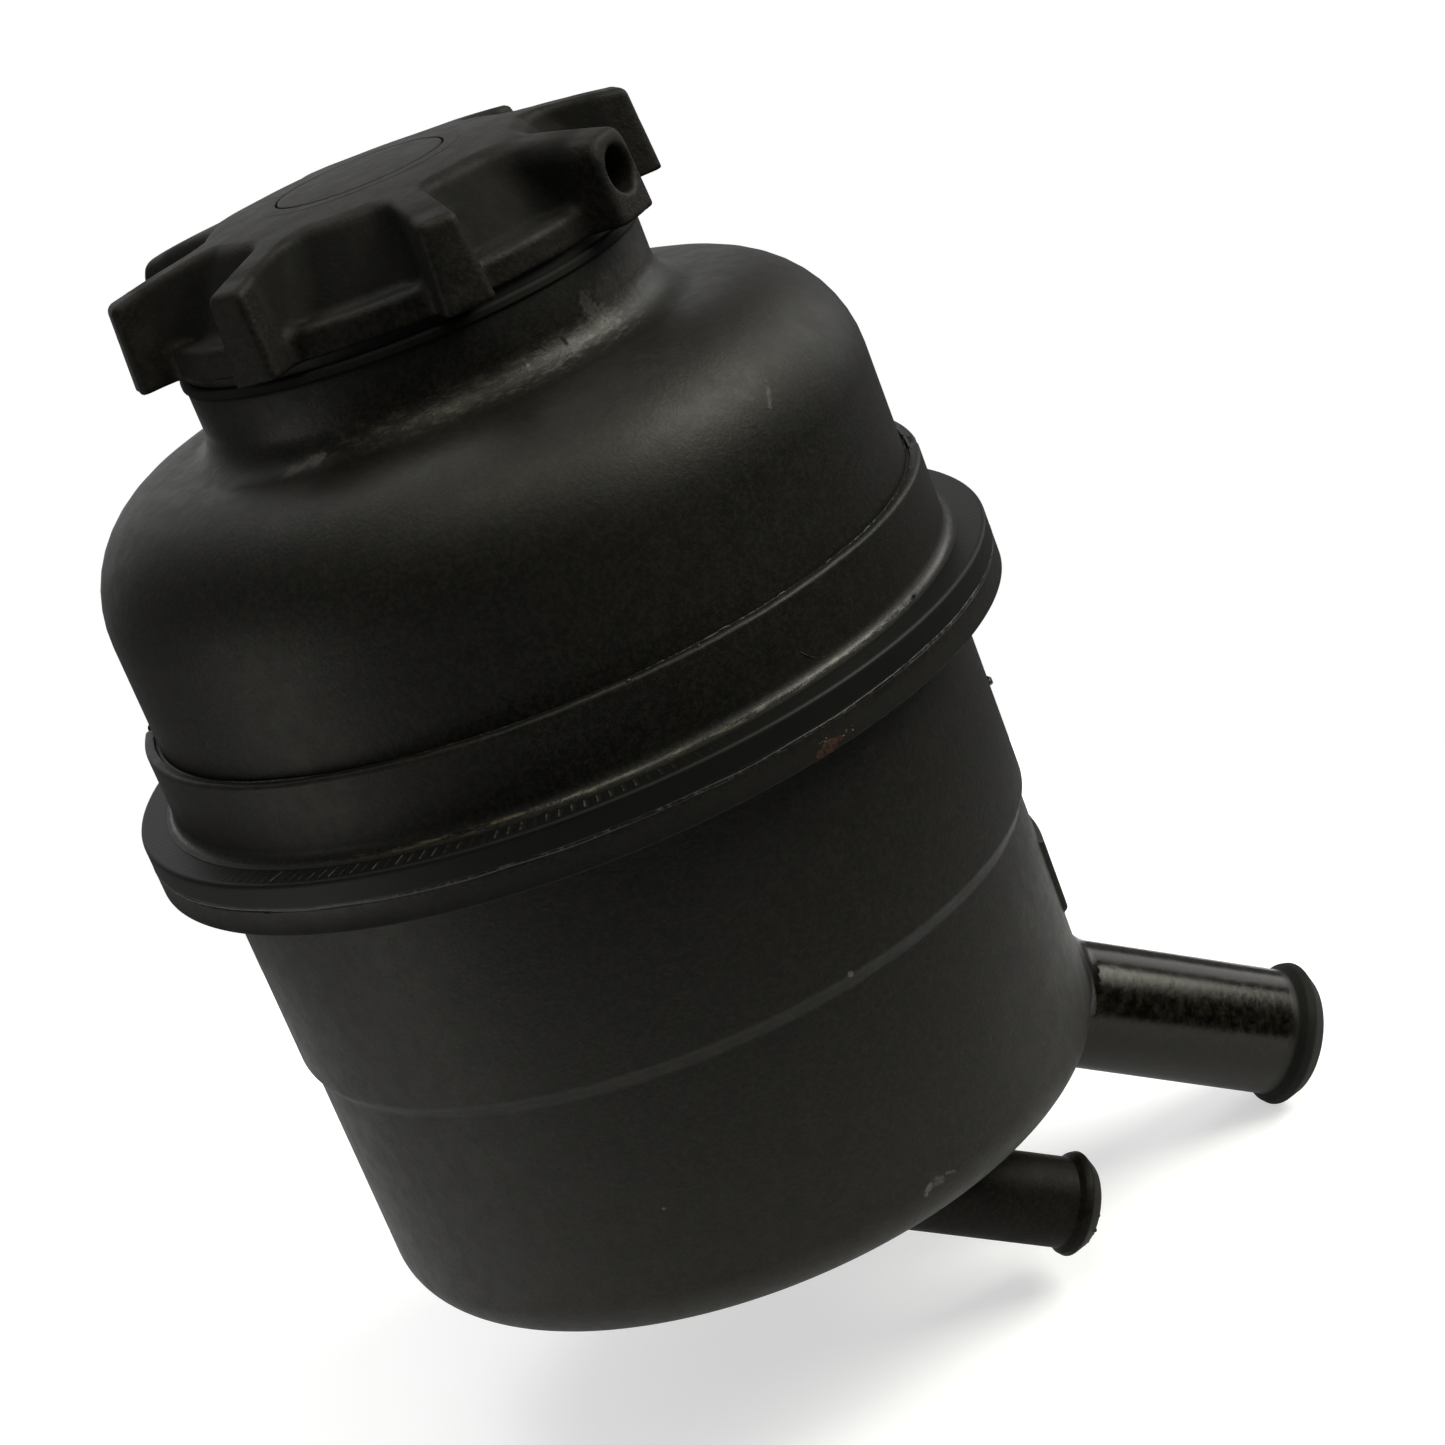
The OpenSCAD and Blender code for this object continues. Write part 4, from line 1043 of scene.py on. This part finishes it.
def seen(tree):
    """1 for rays that show the background: camera, glossy and transmission rays."""
    path = tree.nodes.new("ShaderNodeLightPath")
    total = path.outputs["Is Camera Ray"]
    for name in ("Is Glossy Ray", "Is Transmission Ray"):
        node = tree.nodes.new("ShaderNodeMath")
        node.operation, node.use_clamp = "ADD", True
        tree.links.new(total, node.inputs[0])
        tree.links.new(path.outputs[name], node.inputs[1])
        total = node.outputs[0]
    return path, total


def studio_world():
    """White to the camera; reflections see the white backdrop behind the object and a dim room round it."""
    world = bpy.data.worlds.new("studio")
    world.use_nodes = True
    scene.world = world
    tree = world.node_tree
    path, shown = seen(tree)
    coords = tree.nodes.new("ShaderNodeTexCoord")

    def toward(az, el, narrow, wide, out_wide, out_narrow):
        """Level that rises as a ray turns towards one direction; angles in degrees."""
        a, e = math.radians(az), math.radians(el)
        dot = tree.nodes.new("ShaderNodeVectorMath")
        dot.operation = "DOT_PRODUCT"
        tree.links.new(coords.outputs["Generated"], dot.inputs[0])
        dot.inputs[1].default_value = (math.cos(a) * math.cos(e), math.sin(a) * math.cos(e), math.sin(e))
        ramp = tree.nodes.new("ShaderNodeMapRange")
        ramp.interpolation_type = "SMOOTHSTEP"
        tree.links.new(dot.outputs["Value"], ramp.inputs[0])
        values = (math.cos(math.radians(wide)), math.cos(math.radians(narrow)), out_wide, out_narrow)
        for socket, v in zip(list(ramp.inputs)[1:5], values):
            socket.default_value = v
        return ramp.outputs[0]

    def join(operation, a, b):
        node = tree.nodes.new("ShaderNodeMath")
        node.operation = operation
        tree.links.new(a, node.inputs[0])
        tree.links.new(b, node.inputs[1])
        return node.outputs[0]

    level = join("ADD", toward(92, 11, 6, 33, 0.0, 0.78), toward(80, 30, 30, 115, 0.018, 0.13))
    level = join("MAXIMUM", level, path.outputs["Is Camera Ray"])
    strength = tree.nodes.new("ShaderNodeMix")
    strength.data_type = "FLOAT"
    tree.links.new(shown, strength.inputs[0])
    strength.inputs[2].default_value = 0.5
    tree.links.new(level, strength.inputs[3])
    tree.links.new(strength.outputs[0], tree.nodes["Background"].inputs["Strength"])
    tree.nodes["Background"].inputs["Color"].default_value = (1, 1, 1, 1)


def floor():
    """Round pale floor under the lowest point, white towards its rim; open from below."""
    rim = 0.185
    centre = (-0.04, 0.03)
    ring = circle(128)
    verts = [(centre[0] + rim * math.cos(a), centre[1] + rim * math.sin(a)) for a in ring]
    mesh = bpy.data.meshes.new("floor")
    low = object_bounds()[0][2] - 0.0004
    mesh.from_pydata([(x, y, low) for x, y in verts], [], [list(range(len(verts)))])
    obj = bpy.data.objects.new("floor", mesh)
    scene.collection.objects.link(obj)
    obj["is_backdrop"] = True
    p = Paint("floor")
    path, shown = seen(p.tree)
    offset = p.add("ShaderNodeVectorMath", operation="DISTANCE")
    p.put(offset.inputs[0], p.place)
    offset.inputs[1].default_value = (centre[0], centre[1], low)
    away = p.ramp(offset.outputs["Value"], 0.11, rim)
    tone = p.math("ADD", 0.64, p.math("MULTIPLY", p.noise(40.0), 0.02))
    grey = p.add("ShaderNodeCombineColor")
    for i in range(3):
        p.put(grey.inputs[i], tone)
    p.put(p.shader.inputs["Base Color"], grey.outputs[0])
    p.shader.inputs["Roughness"].default_value = 0.9
    p.shader.inputs["Specular IOR Level"].default_value = 0.1
    p.shader.inputs["Emission Color"].default_value = (1, 1, 1, 1)
    white = p.math("MULTIPLY", path.outputs["Is Camera Ray"], 0.31)
    glow = p.math("MULTIPLY", shown, p.math("ADD", 0.21, p.math("MULTIPLY", away, 0.28)))
    glow = p.math("ADD", glow, white)
    p.put(p.shader.inputs["Emission Strength"], glow)
    facing = p.add("ShaderNodeNewGeometry").outputs["Backfacing"]
    clear = p.add("ShaderNodeBsdfTransparent")
    mix = p.add("ShaderNodeMixShader")
    p.put(mix.inputs[0], p.math("MULTIPLY", facing, path.outputs["Is Camera Ray"]))
    p.put(mix.inputs[1], p.shader.outputs[0])
    p.put(mix.inputs[2], clear.outputs[0])
    p.put(p.tree.nodes["Material Output"].inputs["Surface"], mix.outputs[0])
    mesh.materials.append(p.material)


def softbox(name, az, el, distance, size, watts, colour=(1, 1, 1)):
    light = bpy.data.lights.new(name, "AREA")
    light.shape, light.size, light.size_y, light.energy, light.color = "RECTANGLE", size[0], size[1], watts, colour
    obj = bpy.data.objects.new(name, light)
    a, e = math.radians(az), math.radians(el)
    out = Vector((math.cos(a) * math.cos(e), math.sin(a) * math.cos(e), math.sin(e)))
    obj.location = out * distance + Vector((0, 0, 0.03))
    obj.rotation_euler = out.to_track_quat("Z", "Y").to_euler()
    scene.collection.objects.link(obj)


studio_world()
floor()
softbox("key", -19, 37, 1.1, (0.76, 0.48), 10.4, (1.0, 0.99, 0.90))
softbox("overhead", -85, 66, 1.2, (0.6, 0.5), 3.6, (1.0, 0.99, 0.88))
softbox("top", 108, 66, 1.2, (0.7, 0.5), 3.3)
softbox("left", 186, -12, 1.2, (0.5, 0.9), 2.2, (1.0, 0.98, 0.93))
softbox("right", 30, 14, 1.2, (0.5, 0.7), 2.0)
